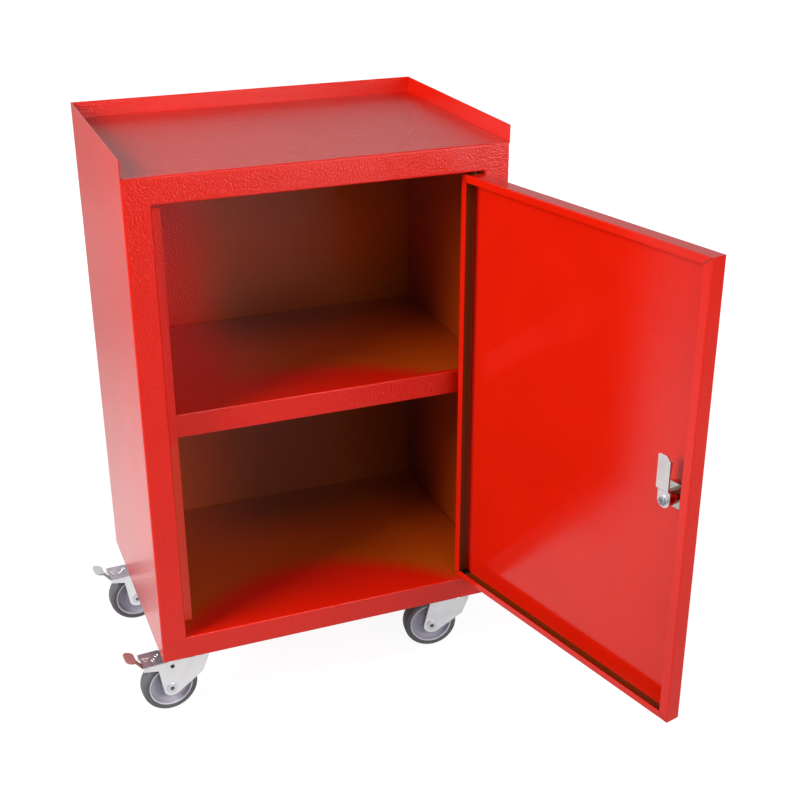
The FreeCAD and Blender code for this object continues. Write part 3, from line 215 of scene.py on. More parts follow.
@dataclass(frozen=True)
class PowderCoat(Finish):
    """Polyester powder, sprayed on sheet steel and baked.

    It gives the eye an even, deep colour under a soft gloss, with the fine pebbled skin called
    orange peel that breaks up every highlight. Inside the hollow of the cabinet, shade is painted
    into the colour: brown, and darkest in the corner at the back, low on the right.
    """

    colour: str = "#E31E08"
    deep: str = "#D61906"
    # The next two are the brown of the painted shade and its darker tone toward the back corner;
    # on the door the first also colours the open joints
    painted_shade_and_joint_brown: str = "#BE4B0A"
    painted_deep_shade: str = "#7E340C"
    roughness: float = 0.10
    roughness_spread: float = 0.02
    # Orange peel has cells of about 1 mm, too fine to show in the render, so they are drawn wider
    peel: float = 2.5
    peel_depth: float = 0.36
    grains_in_a_cell: float = 1.4
    # Powder draws back from sharp edges into a small round, which catches a thin line of light
    edge: float = 0.9
    cloud: float = 85.0
    # The painted shade is darkest in the corner at the back, low on the right
    darkening: tuple[tuple[Limit, ...], ...] = (
        (Limit("X", -200.0, 0.0, soft=True),),
        (Limit("Y", 0.0, 150.0, soft=True),),
        (Limit("Z", 600.0, 420.0, soft=True, least=0.35),),
    )
    # The red without painted shade ends in a bow, which reaches farthest in at bow_middle
    bow: float = 2.6
    bow_middle: float = -20.0
    bow_start: float = -85.0
    bow_full: float = -20.0
    # Where shade is painted into the hollow
    painted_shade_limits: tuple[tuple[Limit, ...], ...] = (
        # Inside both sides
        (Limit("X", 249.2, 248.9),),
        (Limit("X", -249.2, -248.9),),
        # Behind the stiles' faces, ahead of the back panel's outside and below the tray
        (Limit("Y", -173.6, -172.2),),
        (Limit("Y", 174.6, 174.2),),
        (Limit("Z", 781.5, 781.1),),
        # Above the shelf the left half keeps the full red, with no painted shade
        (Limit("X", -140.0, -30.0, soft=True), Limit("Z", 457.8, 457.4)),
        # So does the shelf's front apron
        (Limit("Y", -133.5, -132.5), Limit("Z", 419.0, 418.5), Limit("Z", 458.5, 459.0)),
    )

    def shade(self, tree: bpy.types.NodeTree) -> bpy.types.NodeSocket:
        """Builds the shader.

        Args:
            tree: The material's node tree.

        Returns:
            The shader's output.
        """
        place = add_node(tree, "ShaderNodeTexCoord").outputs["Object"]
        cells_in_a_metre = 1 / (self.peel * MM)
        cells = add_node(
            tree,
            "ShaderNodeTexVoronoi",
            {"Vector": place, "Scale": cells_in_a_metre, "Smoothness": 0.6},
            feature="SMOOTH_F1",
        )
        grain = add_node(
            tree,
            "ShaderNodeTexNoise",
            {"Vector": place, "Scale": self.grains_in_a_cell * cells_in_a_metre, "Detail": 2.0},
        )
        skin = add_node(
            tree,
            "ShaderNodeMath",
            {0: cells.outputs["Distance"], 1: grain.outputs["Fac"]},
            operation="ADD",
        )
        rounded = add_node(tree, "ShaderNodeBevel", {"Radius": self.edge * MM}, samples=4)
        relief = add_node(
            tree,
            "ShaderNodeBump",
            {
                "Strength": 1.0,
                "Distance": self.peel_depth * MM,
                "Height": skin.outputs[0],
                "Normal": rounded.outputs[0],
            },
        )
        clouds = add_node(
            tree,
            "ShaderNodeTexNoise",
            {"Vector": place, "Scale": 1 / (self.cloud * MM), "Detail": 3.0},
        )
        even = add_node(
            tree,
            "ShaderNodeMix",
            {"Factor": clouds.outputs["Fac"], "A": linear(self.colour), "B": linear(self.deep)},
            data_type="RGBA",
        )
        # Painted shade: inside the hollow the red turns to the painted brown
        colour = add_node(
            tree,
            "ShaderNodeMix",
            {
                "Factor": self.hollow(tree, place),
                "A": even.outputs["Result"],
                "B": self.painted_shade_and_joint_colour(tree, place),
            },
            data_type="RGBA",
        )
        gloss = add_node(
            tree,
            "ShaderNodeMapRange",
            {
                "Value": clouds.outputs["Fac"],
                "To Min": self.roughness - self.roughness_spread,
                "To Max": self.roughness + self.roughness_spread,
            },
        )
        shader = add_node(
            tree,
            "ShaderNodeBsdfPrincipled",
            {
                "Base Color": colour.outputs["Result"],
                "Roughness": gloss.outputs[0],
                "Normal": relief.outputs[0],
            },
        )
        return shader.outputs[0]

    def painted_shade_and_joint_colour(
        self, tree: bpy.types.NodeTree, place: bpy.types.NodeSocket
    ) -> bpy.types.NodeSocket:
        """The painted shade's colour, darker toward the far corner; the door's open joints take
        it too.

        Args:
            tree: The material's node tree.
            place: The point in metres.

        Returns:
            The colour.
        """
        axes = add_node(tree, "ShaderNodeSeparateXYZ", {0: place})
        colour = add_node(
            tree,
            "ShaderNodeMix",
            {
                "Factor": share_within(tree, axes, self.darkening),
                "A": linear(self.painted_shade_and_joint_brown),
                "B": linear(self.painted_deep_shade),
            },
            data_type="RGBA",
        )
        return colour.outputs["Result"]

    def hollow(
        self, tree: bpy.types.NodeTree, place: bpy.types.NodeSocket
    ) -> bpy.types.NodeSocket:
        """How far inside the cabinet's hollow a point lies, where shade is painted into the
        colour.

        Args:
            tree: The material's node tree.
            place: The point in metres.

        Returns:
            A factor from none to full.
        """
        axes = add_node(tree, "ShaderNodeSeparateXYZ", {0: place})
        aside = add_node(
            tree,
            "ShaderNodeMath",
            {0: axes.outputs["X"], 1: self.bow_middle * MM},
            operation="SUBTRACT",
        )
        bowed = add_node(
            tree,
            "ShaderNodeMath",
            {0: aside.outputs[0], 1: aside.outputs[0]},
            operation="MULTIPLY",
        )
        depth = add_node(
            tree,
            "ShaderNodeMath",
            {0: bowed.outputs[0], 1: self.bow, 2: axes.outputs["Y"]},
            operation="MULTIPLY_ADD",
        )
        deep = add_node(
            tree,
            "ShaderNodeMapRange",
            {
                "Value": depth.outputs[0],
                "From Min": self.bow_start * MM,
                "From Max": self.bow_full * MM,
            },
            interpolation_type="SMOOTHSTEP",
        )
        within = share_within(tree, axes, self.painted_shade_limits)
        both = add_node(
            tree, "ShaderNodeMath", {0: deep.outputs[0], 1: within}, operation="MULTIPLY"
        )
        return both.outputs[0]


@dataclass(frozen=True)
class PanCoat(PowderCoat):
    """The same powder on the door pan, with shade painted into the folds along the hinge and the
    foot, and the open joints where its lips meet.

    Its limits stand in the shut pan's own frame, with X and Y from the pivots' line.
    """

    pivot: Point = (204.5, -168.5)
    open_angle: float = 104.0
    painted_shade_limits: tuple[tuple[Limit, ...], ...] = (
        # On the inside of the skin
        (Limit("Y", -5.3, -5.1),),
        # The lips' rims and outsides stand clear of the pan's inside and get no painted shade
        (Limit("Y", 13.9, 13.6),),
        (Limit("X", -416.8, -416.4),),
        # Along the hinge, or along the foot
        (Limit("X", -13.2, -4.2, soft=True), Limit("Z", 157.1, 148.6, soft=True)),
    )
    free_edge: float = -418.0
    hinge_edge: float = 9.0
    crown: float = 744.0
    foot: float = 143.5
    free_lip: float = 13.0
    end_lip: float = 10.0
    lip_face: float = 14.6
    # Half a joint's width, and where it ends past the lip, as shares of the lip's width
    joint: Span = (0.11, 0.05)
    joint_end: Span = (1.05, 1.0)

    def hollow(
        self, tree: bpy.types.NodeTree, place: bpy.types.NodeSocket
    ) -> bpy.types.NodeSocket:
        """How near a point lies to the pan's inside folds, where shade is painted, and whether it
        lies in an open joint.

        Args:
            tree: The material's node tree.
            place: The point in metres.

        Returns:
            A factor from none to full.
        """
        pan = add_node(
            tree,
            "ShaderNodeMapping",
            {
                "Vector": place,
                "Location": (self.pivot[0] * MM, self.pivot[1] * MM, 0.0),
                "Rotation": (0.0, 0.0, math.radians(self.open_angle)),
            },
            vector_type="TEXTURE",
        )
        axes = add_node(tree, "ShaderNodeSeparateXYZ", {0: pan.outputs[0]})
        # Painted shade in the folds, and the dark open joints at the corners
        either = {0: share_within(tree, axes, self.painted_shade_limits), 1: self.mitres(tree, axes)}
        return add_node(tree, "ShaderNodeMath", either, operation="MAXIMUM").outputs[0]

    def mitres(self, tree: bpy.types.NodeTree, axes: bpy.types.Node) -> bpy.types.NodeSocket:
        """The open joints where the return lips meet at the four corners.

        Args:
            tree: The material's node tree.
            axes: The node that splits the point in the pan's own frame.

        Returns:
            One in a joint.
        """
        inward = {}
        for side, axis, start, end in (
            ("free", "X", self.free_edge, self.free_edge + self.free_lip),
            ("hinge", "X", self.hinge_edge, self.hinge_edge - self.end_lip),
            ("crown", "Z", self.crown, self.crown - self.end_lip),
            ("foot", "Z", self.foot, self.foot + self.end_lip),
        ):
            inward[side] = add_node(
                tree,
                "ShaderNodeMapRange",
                {"Value": axes.outputs[axis], "From Min": start * MM, "From Max": end * MM},
                clamp=False,
            ).outputs[0]
        nearest = {"across": ("free", "hinge"), "up": ("crown", "foot")}
        for way, (one, other) in nearest.items():
            inward[way] = add_node(
                tree, "ShaderNodeMath", {0: inward[one], 1: inward[other]}, operation="MINIMUM"
            ).outputs[0]
        apart = add_node(
            tree, "ShaderNodeMath", {0: inward["across"], 1: inward["up"]}, operation="SUBTRACT"
        )
        off = add_node(tree, "ShaderNodeMath", {0: apart.outputs[0]}, operation="ABSOLUTE")
        factor = share_within(tree, axes, ((Limit("Y", self.lip_face, self.lip_face + 0.2),),))
        for value, (none, full) in (
            (off.outputs[0], self.joint),
            (inward["across"], self.joint_end),
        ):
            part = add_node(
                tree, "ShaderNodeMapRange", {"Value": value, "From Min": none, "From Max": full}
            )
            both = {0: factor, 1: part.outputs[0]}
            factor = add_node(tree, "ShaderNodeMath", both, operation="MULTIPLY").outputs[0]
        return factor


@dataclass(frozen=True)
class PlatedSteel(Finish):
    """Mild steel with a thin metal coat, pressed or headed.

    It gives the eye a pale silvery grey with soft reflections, faint drawing lines from the press
    and small cloudy patches where the coat took differently.
    """

    colour: str = "#F2F2F4"
    dull: str = "#E6E7EB"
    roughness: float = 0.32
    roughness_spread: float = 0.05
    cloud: float = 24.0
    patch: Span = (0.42, 0.75)
    line: float = 0.8
    line_stretch: float = 0.12
    line_depth: float = 0.002

    def shade(self, tree: bpy.types.NodeTree) -> bpy.types.NodeSocket:
        """Builds the shader.

        Args:
            tree: The material's node tree.

        Returns:
            The shader's output.
        """
        place = add_node(tree, "ShaderNodeTexCoord").outputs["Object"]
        clouds = add_node(
            tree,
            "ShaderNodeTexNoise",
            {"Vector": place, "Scale": 1 / (self.cloud * MM), "Detail": 4.0},
        )
        patches = add_node(
            tree,
            "ShaderNodeMapRange",
            {
                "Value": clouds.outputs["Fac"],
                "From Min": self.patch[0],
                "From Max": self.patch[1],
            },
        )
        colour = add_node(
            tree,
            "ShaderNodeMix",
            {"Factor": patches.outputs[0], "A": linear(self.colour), "B": linear(self.dull)},
            data_type="RGBA",
        )
        stretched = add_node(
            tree,
            "ShaderNodeMapping",
            {"Vector": place, "Scale": (1.0, 1.0, self.line_stretch)},
        )
        lines = add_node(
            tree,
            "ShaderNodeTexNoise",
            {"Vector": stretched.outputs[0], "Scale": 1 / (self.line * MM), "Detail": 1.0},
        )
        relief = add_node(
            tree,
            "ShaderNodeBump",
            {
                "Strength": 1.0,
                "Distance": self.line_depth * MM,
                "Height": lines.outputs["Fac"],
            },
        )
        gloss = add_node(
            tree,
            "ShaderNodeMapRange",
            {
                "Value": clouds.outputs["Fac"],
                "To Min": self.roughness - self.roughness_spread,
                "To Max": self.roughness + self.roughness_spread,
            },
        )
        shader = add_node(
            tree,
            "ShaderNodeBsdfPrincipled",
            {
                "Base Color": colour.outputs["Result"],
                "Metallic": 1.0,
                "Roughness": gloss.outputs[0],
                "Normal": relief.outputs[0],
            },
        )
        return shader.outputs[0]


@dataclass(frozen=True)
class Moulding(Finish):
    """Rubber or plastic, injection moulded.

    It gives the eye a soft grey with a slightly uneven sheen and a fine spark-eroded grain.
    """

    colour: str = "#57565B"
    pale: str = "#67666C"
    roughness: float = 0.55
    roughness_spread: float = 0.06
    # A tool's spark grain is about 0.1 mm, too fine to show in the render, so it is drawn wider
    grain: float = 0.9
    grain_depth: float = 0.02
    cloud: float = 14.0
    ior: float = 1.5

    def shade(self, tree: bpy.types.NodeTree) -> bpy.types.NodeSocket:
        """Builds the shader.

        Args:
            tree: The material's node tree.

        Returns:
            The shader's output.
        """
        place = add_node(tree, "ShaderNodeTexCoord").outputs["Object"]
        clouds = add_node(
            tree,
            "ShaderNodeTexNoise",
            {"Vector": place, "Scale": 1 / (self.cloud * MM), "Detail": 5.0},
        )
        colour = add_node(
            tree,
            "ShaderNodeMix",
            {"Factor": clouds.outputs["Fac"], "A": linear(self.colour), "B": linear(self.pale)},
            data_type="RGBA",
        )
        grain = add_node(
            tree,
            "ShaderNodeTexNoise",
            {"Vector": place, "Scale": 1 / (self.grain * MM), "Detail": 2.0},
        )
        relief = add_node(
            tree,
            "ShaderNodeBump",
            {
                "Strength": 1.0,
                "Distance": self.grain_depth * MM,
                "Height": grain.outputs["Fac"],
            },
        )
        gloss = add_node(
            tree,
            "ShaderNodeMapRange",
            {
                "Value": clouds.outputs["Fac"],
                "To Min": self.roughness - self.roughness_spread,
                "To Max": self.roughness + self.roughness_spread,
            },
        )
        shader = add_node(
            tree,
            "ShaderNodeBsdfPrincipled",
            {
                "Base Color": colour.outputs["Result"],
                "Roughness": gloss.outputs[0],
                "IOR": self.ior,
                "Normal": relief.outputs[0],
            },
        )
        return shader.outputs[0]


# Glossy orange red on every folded sheet, with brown shade painted inside the cabinet's hollow
RED_COAT = PowderCoat("polyester_powder_coat_red_sprayed_and_baked")
# The same red, smoother on the door's broad skin, with brown shade painted in its folds and dark
# open joints at its corners
DOOR_COAT = PanCoat(
    "polyester_powder_coat_red_on_the_door",
    painted_shade_and_joint_brown="#6A340E",
    painted_deep_shade="#6A340E",
    peel_depth=0.08,
)
# Near white and silky: the castors' plates and forks, the cam
PRESSED_ZINC = PlatedSteel("mild_steel_pressed_bright_zinc_plated")
# A dull bluish grey that takes up the red beside it: the brakes' cover plates
STAMPED_ZINC = PlatedSteel(
    "mild_steel_stamped_clear_zinc_plated",
    colour="#B6B3BE",
    dull="#9C99A5",
    roughness=0.45,
    cloud=4.0,
)
# Mid grey and finely mottled: bolts, nuts and the cam's screw
HEADED_ZINC = PlatedSteel(
    "carbon_steel_cold_headed_zinc_plated",
    colour="#B4B6BC",
    dull="#8C8E94",
    cloud=2.5,
)
# Pale and a little duller than the fork round it: the wheels' hollow rivets
RIVET_ZINC = PlatedSteel(
    "carbon_steel_hollow_rivet_bright_zinc_plated",
    colour="#E2E3E7",
    dull="#D2D3D8",
    roughness=0.38,
)
# Nearly black with a grey sheen: the door's pivots and the brakes' rivets
BLACKED = PlatedSteel(
    "carbon_steel_cold_headed_black_oxide",
    colour="#4C4B4E",
    dull="#343335",
    roughness=0.38,
    cloud=2.5,
)
# Warm grey with sharp reflections: the lock's housing, nut and plug
NICKEL = PlatedSteel(
    "zinc_alloy_die_cast_nickel_plated",
    colour="#C9C6C1",
    dull="#A8A49E",
    roughness=0.12,
    cloud=8.0,
)
# Dark, dry grey: the tyres
TYRE_RUBBER = Moulding("thermoplastic_rubber_moulded_grey")
# Bluish light grey: the wheel bodies
HUB_PLASTIC = Moulding(
    "polypropylene_moulded_grey", colour="#A3A1B1", pale="#B3B1C0", roughness=0.42, cloud=20.0
)
# The same plastic painted pale as a highlight: a narrow light ring on each side of a wheel
PAINTED_LIP_HIGHLIGHT = Moulding(
    "polypropylene_moulded_grey_rubbed_bright", colour="#D2D1DA", pale="#DEDDE5", roughness=0.3
)
# Faded brownish red, softly rounded: the front brake's tab
RED_DIP = Moulding(
    "pvc_dip_coat_dull_red", colour="#9C6C69", pale="#AE807C", roughness=0.5, cloud=5.0
)
# Cool light grey: the back brake's tab
GREY_DIP = Moulding(
    "pvc_dip_coat_grey", colour="#A8C4C4", pale="#B6D0D0", roughness=0.5, cloud=5.0
)


# --- meshes -----------------------------------------------------------------------------------


def add_piece(
    name: str,
    mesh: bmesh.types.BMesh,
    finish: Finish,
    body: str,
    place: Matrix,
    replaces: Sequence[str] = (),
) -> bpy.types.Object:
    """Turns a mesh to a finished piece that rides on a body of the cabinet.

    Args:
        name: The piece's name.
        mesh: Its mesh in its own frame, in metres, which this call frees.
        finish: Its finish.
        body: The body that it moves with.
        place: From its own frame to the cabinet's.
        replaces: The nodes that it stands for.

    Returns:
        The new object.
    """
    mesh.transform(place)
    bmesh.ops.recalc_face_normals(mesh, faces=mesh.faces)
    data = bpy.data.meshes.new(name)
    mesh.to_mesh(data)
    mesh.free()
    data.materials.append(finish.material())
    data.shade_smooth()
    piece = bpy.data.objects.new(name, data)
    bpy.context.scene.collection.objects.link(piece)
    data.set_sharp_from_angle(angle=SHARP)
    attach(piece, body)
    if replaces:
        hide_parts(*replaces)
    LOG.info("%s on %s", name, body)
    return piece


def lathe(outline: Sequence[Point], steps: int) -> bmesh.types.BMesh:
    """Turns a closed outline of radius and width, in millimetres, about the Y axis.

    Args:
        outline: Points of radius and place along the axis.
        steps: Faces in a full turn.

    Returns:
        A new mesh in metres.
    """
    mesh = bmesh.new()
    rings = []
    for step in range(steps):
        turn = 2 * math.pi * step / steps
        rings.append(
            [
                mesh.verts.new((r * MM * math.cos(turn), w * MM, r * MM * math.sin(turn)))
                for r, w in outline
            ]
        )
    for step, ring in enumerate(rings):
        after = rings[(step + 1) % steps]
        for i, vert in enumerate(ring):
            j = (i + 1) % len(ring)
            mesh.faces.new((vert, ring[j], after[j], after[i]))
    return mesh


def loft(rings: Sequence[Sequence[Vector]], ring_again: bool = False) -> bmesh.types.BMesh:
    """Skins rings of points that all have the same count.

    Args:
        rings: The rings in order, in millimetres.
        ring_again: Whether the last ring joins the first; otherwise both ends are capped.

    Returns:
        A new mesh in metres.
    """
    mesh = bmesh.new()
    rows = [[mesh.verts.new(Vector(point) * MM) for point in ring] for ring in rings]
    pairs = list(zip(rows, rows[1:]))
    if ring_again:
        pairs.append((rows[-1], rows[0]))
    else:
        mesh.faces.new(rows[0])
        mesh.faces.new(rows[-1])
    for row, after in pairs:
        for i, vert in enumerate(row):
            j = (i + 1) % len(row)
            mesh.faces.new((vert, row[j], after[j], after[i]))
    return mesh


def dress(nodes: Iterable[str], finish: Finish, frame: dict) -> None:
    """Gives solids of the frame their finish.

    Args:
        nodes: Their names.
        finish: The finish.
    """
    for name in nodes:
        data = frame["nodes"][name].data
        data.materials.clear()
        data.materials.append(finish.material())
        LOG.info("%s in %s", name, finish.name)


# --- sub-assemblies ---------------------------------------------------------------------------


class Corner(Enum):
    """Which castor, seen from the front."""

    FRONT_LEFT = "fl"
    FRONT_RIGHT = "fr"
    BACK_LEFT = "bl"
    BACK_RIGHT = "br"


class Section(Enum):
    """The outline of the cam's screw at one height."""

    ROUND = "round"
    HEXAGON = "hexagon"
    CROSS = "cross"


@dataclass
class Carcass:
    """The folded and welded sheet steel body with its tray top, shelf and hollow base."""

    coated: tuple[str, ...] = (
        "left_side",
        "right_side",
        "back_panel",
        "tray_top",
        "base_pan",
        "shelf",
        "corner_plates",
    )
    fasteners: tuple[str, ...] = ("castor_bolts", "castor_nuts")

    def build(self, frame: dict) -> None:
        """Dresses the body's sheets and its bolts."""
        dress(self.coated, RED_COAT, frame)
        dress(self.fasteners, HEADED_ZINC, frame)


@dataclass
class Door:
    """The folded door pan on its pivots, with the lock in it."""

    pivots: tuple[str, ...] = (
        "pivot_bolt_lower",
        "pivot_bolt_upper",
        "pivot_nuts",
        "pivot_spacer",
    )
    bright: tuple[str, ...] = ("lock_housing", "lock_nut", "lock_plug")
    cam: tuple[str, ...] = ("lock_cam", "cam_washer")
    swing: float = 104.0
    head_flat: float = 4.9
    head_height: float = 3.2
    shank: float = 2.9
    shank_length: float = 9.0
    cross_arm: float = 2.6
    cross_root: float = 1.0
    screw_steps: int = 72

    def build(self, frame: dict) -> None:
        """Dresses the pan, its pivots and its lock, and builds the cam's screw.
        """
        dress(["door_pan"], DOOR_COAT, frame)
        dress(self.pivots, BLACKED, frame)
        dress(self.bright, NICKEL, frame)
        dress(self.cam, PRESSED_ZINC, frame)
        self.build_cam_screw(frame)

    def screw_radius(self, section: Section, size: float, way: float) -> float:
        """How far the screw's outline lies from its axis.

        Args:
            section: The outline.
            size: The round's radius, half the hexagon's width, or the cross's scale.
            way: The direction in radians.

        Returns:
            The distance in the size's unit.
        """
        if section is Section.HEXAGON:
            sixth = math.pi / 3
            return size / math.cos(way % sixth - sixth / 2)
        if section is Section.CROSS:
            quarter = math.pi / 2
            on_arm = abs(way % quarter - quarter / 2) > math.radians(30)
            return size * (self.cross_arm if on_arm else self.cross_root)
        return size

    def build_cam_screw(self, frame: dict) -> None:
        """The screw that holds the cam: a chamfered hexagon head with a sunk middle and a cross.
        """
        swing = math.radians(self.swing)
        inward = Vector((-math.sin(swing), math.cos(swing), 0))
        corners = [Vector(v.co) for v in frame["nodes"]["cam_screw"].data.vertices]
        top = max(corner.dot(inward) for corner in corners)
        low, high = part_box("cam_screw")
        middle = (Vector(low) + Vector(high)) / 2
        seat = middle + inward * (top - self.head_height * MM - middle.dot(inward))
        place = Matrix.Translation(seat) @ inward.to_track_quat("Z", "Y").to_matrix().to_4x4()

        flat, head, length = self.head_flat, self.head_height, self.shank_length
        stations = (
            (Section.ROUND, self.shank * 0.9, -length),
            (Section.ROUND, self.shank, 0.6 - length),
            (Section.ROUND, self.shank, 0.0),
            (Section.ROUND, flat - 0.2, 0.0),
            (Section.HEXAGON, flat, 0.3),
            (Section.HEXAGON, flat, head - 0.6),
            (Section.ROUND, flat - 0.4, head),
            (Section.ROUND, flat - 1.2, head),
            (Section.ROUND, flat - 1.5, head - 0.5),
            (Section.CROSS, 1.0, head - 0.5),
            (Section.CROSS, 0.8, head - 1.9),
        )
        rings = []
        for section, size, height in stations:
            ring = []
            for step in range(self.screw_steps):
                way = 2 * math.pi * step / self.screw_steps
                radius = self.screw_radius(section, size, way)
                ring.append(Vector((radius * math.cos(way), radius * math.sin(way), height)))
            rings.append(ring)
        add_piece(
            "cam_screw_recessed",
            loft(rings),
            HEADED_ZINC,
            "lock_barrel",
            place,
            ["cam_screw"],
        )


@dataclass(frozen=True)
class Mark:
    """A low ridge that a press raises round a regular outline in thin sheet.

    Reach is from the outline's middle to the ridge's crown on a side, and turn is in degrees.
    """

    name: str
    middle: Point
    sides: int
    reach: float
    width: float
    turn: float = 0.0
    height: float = 0.7
    # Across as a share of the width, and up as a share of the height
    section: tuple[Point, ...] = (
        (-0.5, 0.0),
        (-0.28, 0.75),
        (0.0, 1.0),
        (0.28, 0.75),
        (0.5, 0.0),
    )

    def ridge(self) -> bmesh.types.BMesh:
        """Builds the ridge on the plane Z = 0.

        Returns:
            A new mesh in metres.
        """
        rings = []
        for side in range(self.sides):
            way = math.radians(self.turn) + 2 * math.pi * side / self.sides
            ring = []
            for out, up in self.section:
                far = (self.reach + out * self.width) / math.cos(math.pi / self.sides)
                across = self.middle[0] + far * math.cos(way)
                along = self.middle[1] + far * math.sin(way)
                ring.append(Vector((across, along, up * self.height)))
            rings.append(ring)
        return loft(rings, ring_again=True)


@dataclass
class Castor:
    """One swivel castor: plate, fork, wheel, axle and, on the left, the foot brake."""

    corner: Corner
    yaw: float
    braked: bool
    across: float = 202.0
    along: float = 123.0
    trail: float = 35.0
    wheel_radius: float = 40.0
    tyre_width: float = 24.0
    tyre_steps: int = 128
    seat_radius: float = 32.0
    rim_width: float = 22.0
    hub_radius: float = 10.5
    hub_steps: int = 96
    bore: float = 6.1
    hub_length: float = 28.4
    cover_top: float = 85.5
    marks: tuple[Mark, ...] = (
        Mark("arrow", (-65.0, 1.5), sides=3, reach=2.7, width=2.1, turn=20.0),
        Mark("ring_near", (-55.5, -3.5), sides=28, reach=2.5, width=1.7),
        Mark("ring_far", (-49.0, 4.5), sides=28, reach=2.5, width=1.7),
    )

    def frame_matrix(self) -> Matrix:
        """From the castor's frame, on the floor under its swivel, to the cabinet's.

        Returns:
            The matrix, in metres.
        """
        side = -1 if self.corner.value.endswith("l") else 1
        end = -1 if self.corner.value.startswith("f") else 1
        spot = Matrix.Translation((side * self.across * MM, end * self.along * MM, 0))
        return spot @ Matrix.Rotation(math.radians(self.yaw), 4, "Z")

    def wheel_matrix(self) -> Matrix:
        """From the wheel's frame, at its middle with the axle along Y, to the cabinet's."""
        middle = Matrix.Translation((-self.trail * MM, 0, self.wheel_radius * MM))
        return self.frame_matrix() @ middle

    def build(self, frame: dict) -> None:
        """Builds and dresses the castor.
        """
        code = self.corner.value
        dress([f"castor_plate_{code}", f"fork_{code}"], PRESSED_ZINC, frame)
        dress([f"axle_{code}"], RIVET_ZINC, frame)
        self.build_tyre(code)
        self.build_hub(code)
        self.build_lips(code)
        if self.braked:
            dress([f"brake_plate_{code}"], STAMPED_ZINC, frame)
            self.build_marks(code)
            dress([f"brake_rivets_{code}"], BLACKED, frame)
            dress([f"brake_pin_{code}"], PRESSED_ZINC, frame)
            dip = RED_DIP if self.corner is Corner.FRONT_LEFT else GREY_DIP
            dress([f"brake_pedal_{code}"], dip, frame)

    def build_marks(self, code: str) -> None:
        """Marks pressed up in the brake's cover plate: an arrowhead and two rings.

        Args:
            code: The corner's short name.
        """
        top = Matrix.Translation((0, 0, self.cover_top * MM))
        for mark in self.marks:
            add_piece(
                f"brake_{mark.name}_{code}",
                mark.ridge(),
                PRESSED_ZINC,
                f"swivel_{code}",
                self.frame_matrix() @ top,
            )

    def build_tyre(self, code: str) -> None:
        """The moulded tyre: a crowned tread with its parting line, round shoulders and a bead.

        Args:
            code: The corner's short name.
        """
        outer, half, seat = self.wheel_radius, self.tyre_width / 2, self.seat_radius
        side = [
            (seat, half - 0.6),
            (seat + 0.4, half - 0.1),
            (seat + 1.2, half),
            (seat + 1.8, half - 0.25),
            (seat + 2.4, half),
            (outer - 4.6, half - 0.05),
            (outer - 3.1, half - 0.65),
            (outer - 1.8, half - 1.7),
            (outer - 0.8, half - 3.2),
            (outer - 0.25, half - 5.2),
            (outer - 0.05, half - 7.5),
            (outer, half - 10.0),
            (outer, 0.6),
        ]
        parting = [(outer - 0.35, 0.0)]
        outline = side + parting + [(r, -w) for r, w in reversed(side)]
        add_piece(
            f"wheel_tyre_{code}",
            lathe(outline, self.tyre_steps),
            TYRE_RUBBER,
            f"wheel_{code}",
            self.wheel_matrix(),
            [f"tyre_{code}"],
        )

    def build_hub(self, code: str) -> None:
        """The moulded wheel body: bearing tube, dished web and a rounded rim lip.

        Args:
            code: The corner's short name.
        """
        seat, rim, hub = self.seat_radius, self.rim_width / 2, self.hub_radius
        half = self.hub_length / 2
        side = [
            (self.bore, half),
            (hub - 0.6, half),
            (hub, half - 0.6),
            (hub + 0.35, 7.0),
            (hub + 1.0, 5.0),
            (hub + 2.6, 4.0),
            (hub + 6.0, 3.6),
            (hub + 12.0, 3.9),
            (hub + 15.0, 4.8),
            (seat - 4.0, 7.2),
            (seat - 3.3, 9.6),
            (seat - 2.9, rim - 0.5),
            (seat - 2.2, rim),
            (seat - 0.8, rim),
            (seat - 0.2, rim - 0.3),
            (seat, rim - 0.9),
        ]
        outline = side + [(r, -w) for r, w in reversed(side)]
        add_piece(
            f"wheel_body_{code}",
            lathe(outline, self.hub_steps),
            HUB_PLASTIC,
            f"wheel_{code}",
            self.wheel_matrix(),
            [f"wheel_hub_{code}"],
        )

    def build_lips(self, code: str) -> None:
        """The crests of the wheel body's two rim lips, painted pale as a highlight.

        Args:
            code: The corner's short name.
        """
        seat, rim = self.seat_radius, self.rim_width / 2
        crest = [
            (seat - 2.8, rim - 0.5),
            (seat - 2.6, rim + 0.2),
            (seat - 2.0, rim + 0.5),
            (seat - 1.1, rim + 0.5),
            (seat - 0.5, rim + 0.2),
            (seat - 0.3, rim - 0.5),
        ]
        # Painted highlight on the crest of each lip
        for name, outline in (("out", crest), ("in", [(r, -w) for r, w in reversed(crest)])):
            add_piece(
                f"wheel_lip_{name}_{code}",
                lathe(outline, self.hub_steps),
                PAINTED_LIP_HIGHLIGHT,
                f"wheel_{code}",
                self.wheel_matrix(),
            )


# --- studio -----------------------------------------------------------------------------------


@dataclass(frozen=True)
class SoftBox:
    """A rectangular lamp aimed at the middle of the cabinet, in metres and watts."""

    name: str
    spot: Spot
    size: Point
    watts: float
    target: Spot = (0.0, 0.0, 0.42)

    def build(self) -> None:
        """Sets the lamp up."""
        data = bpy.data.lights.new(self.name, "AREA")
        data.shape = "RECTANGLE"
        data.size, data.size_y = self.size
        data.energy = self.watts
        lamp = bpy.data.objects.new(self.name, data)
        lamp.location = self.spot
        aim = Vector(self.target) - Vector(self.spot)
        lamp.rotation_euler = aim.to_track_quat("-Z", "Y").to_euler()
        bpy.context.scene.collection.objects.link(lamp)


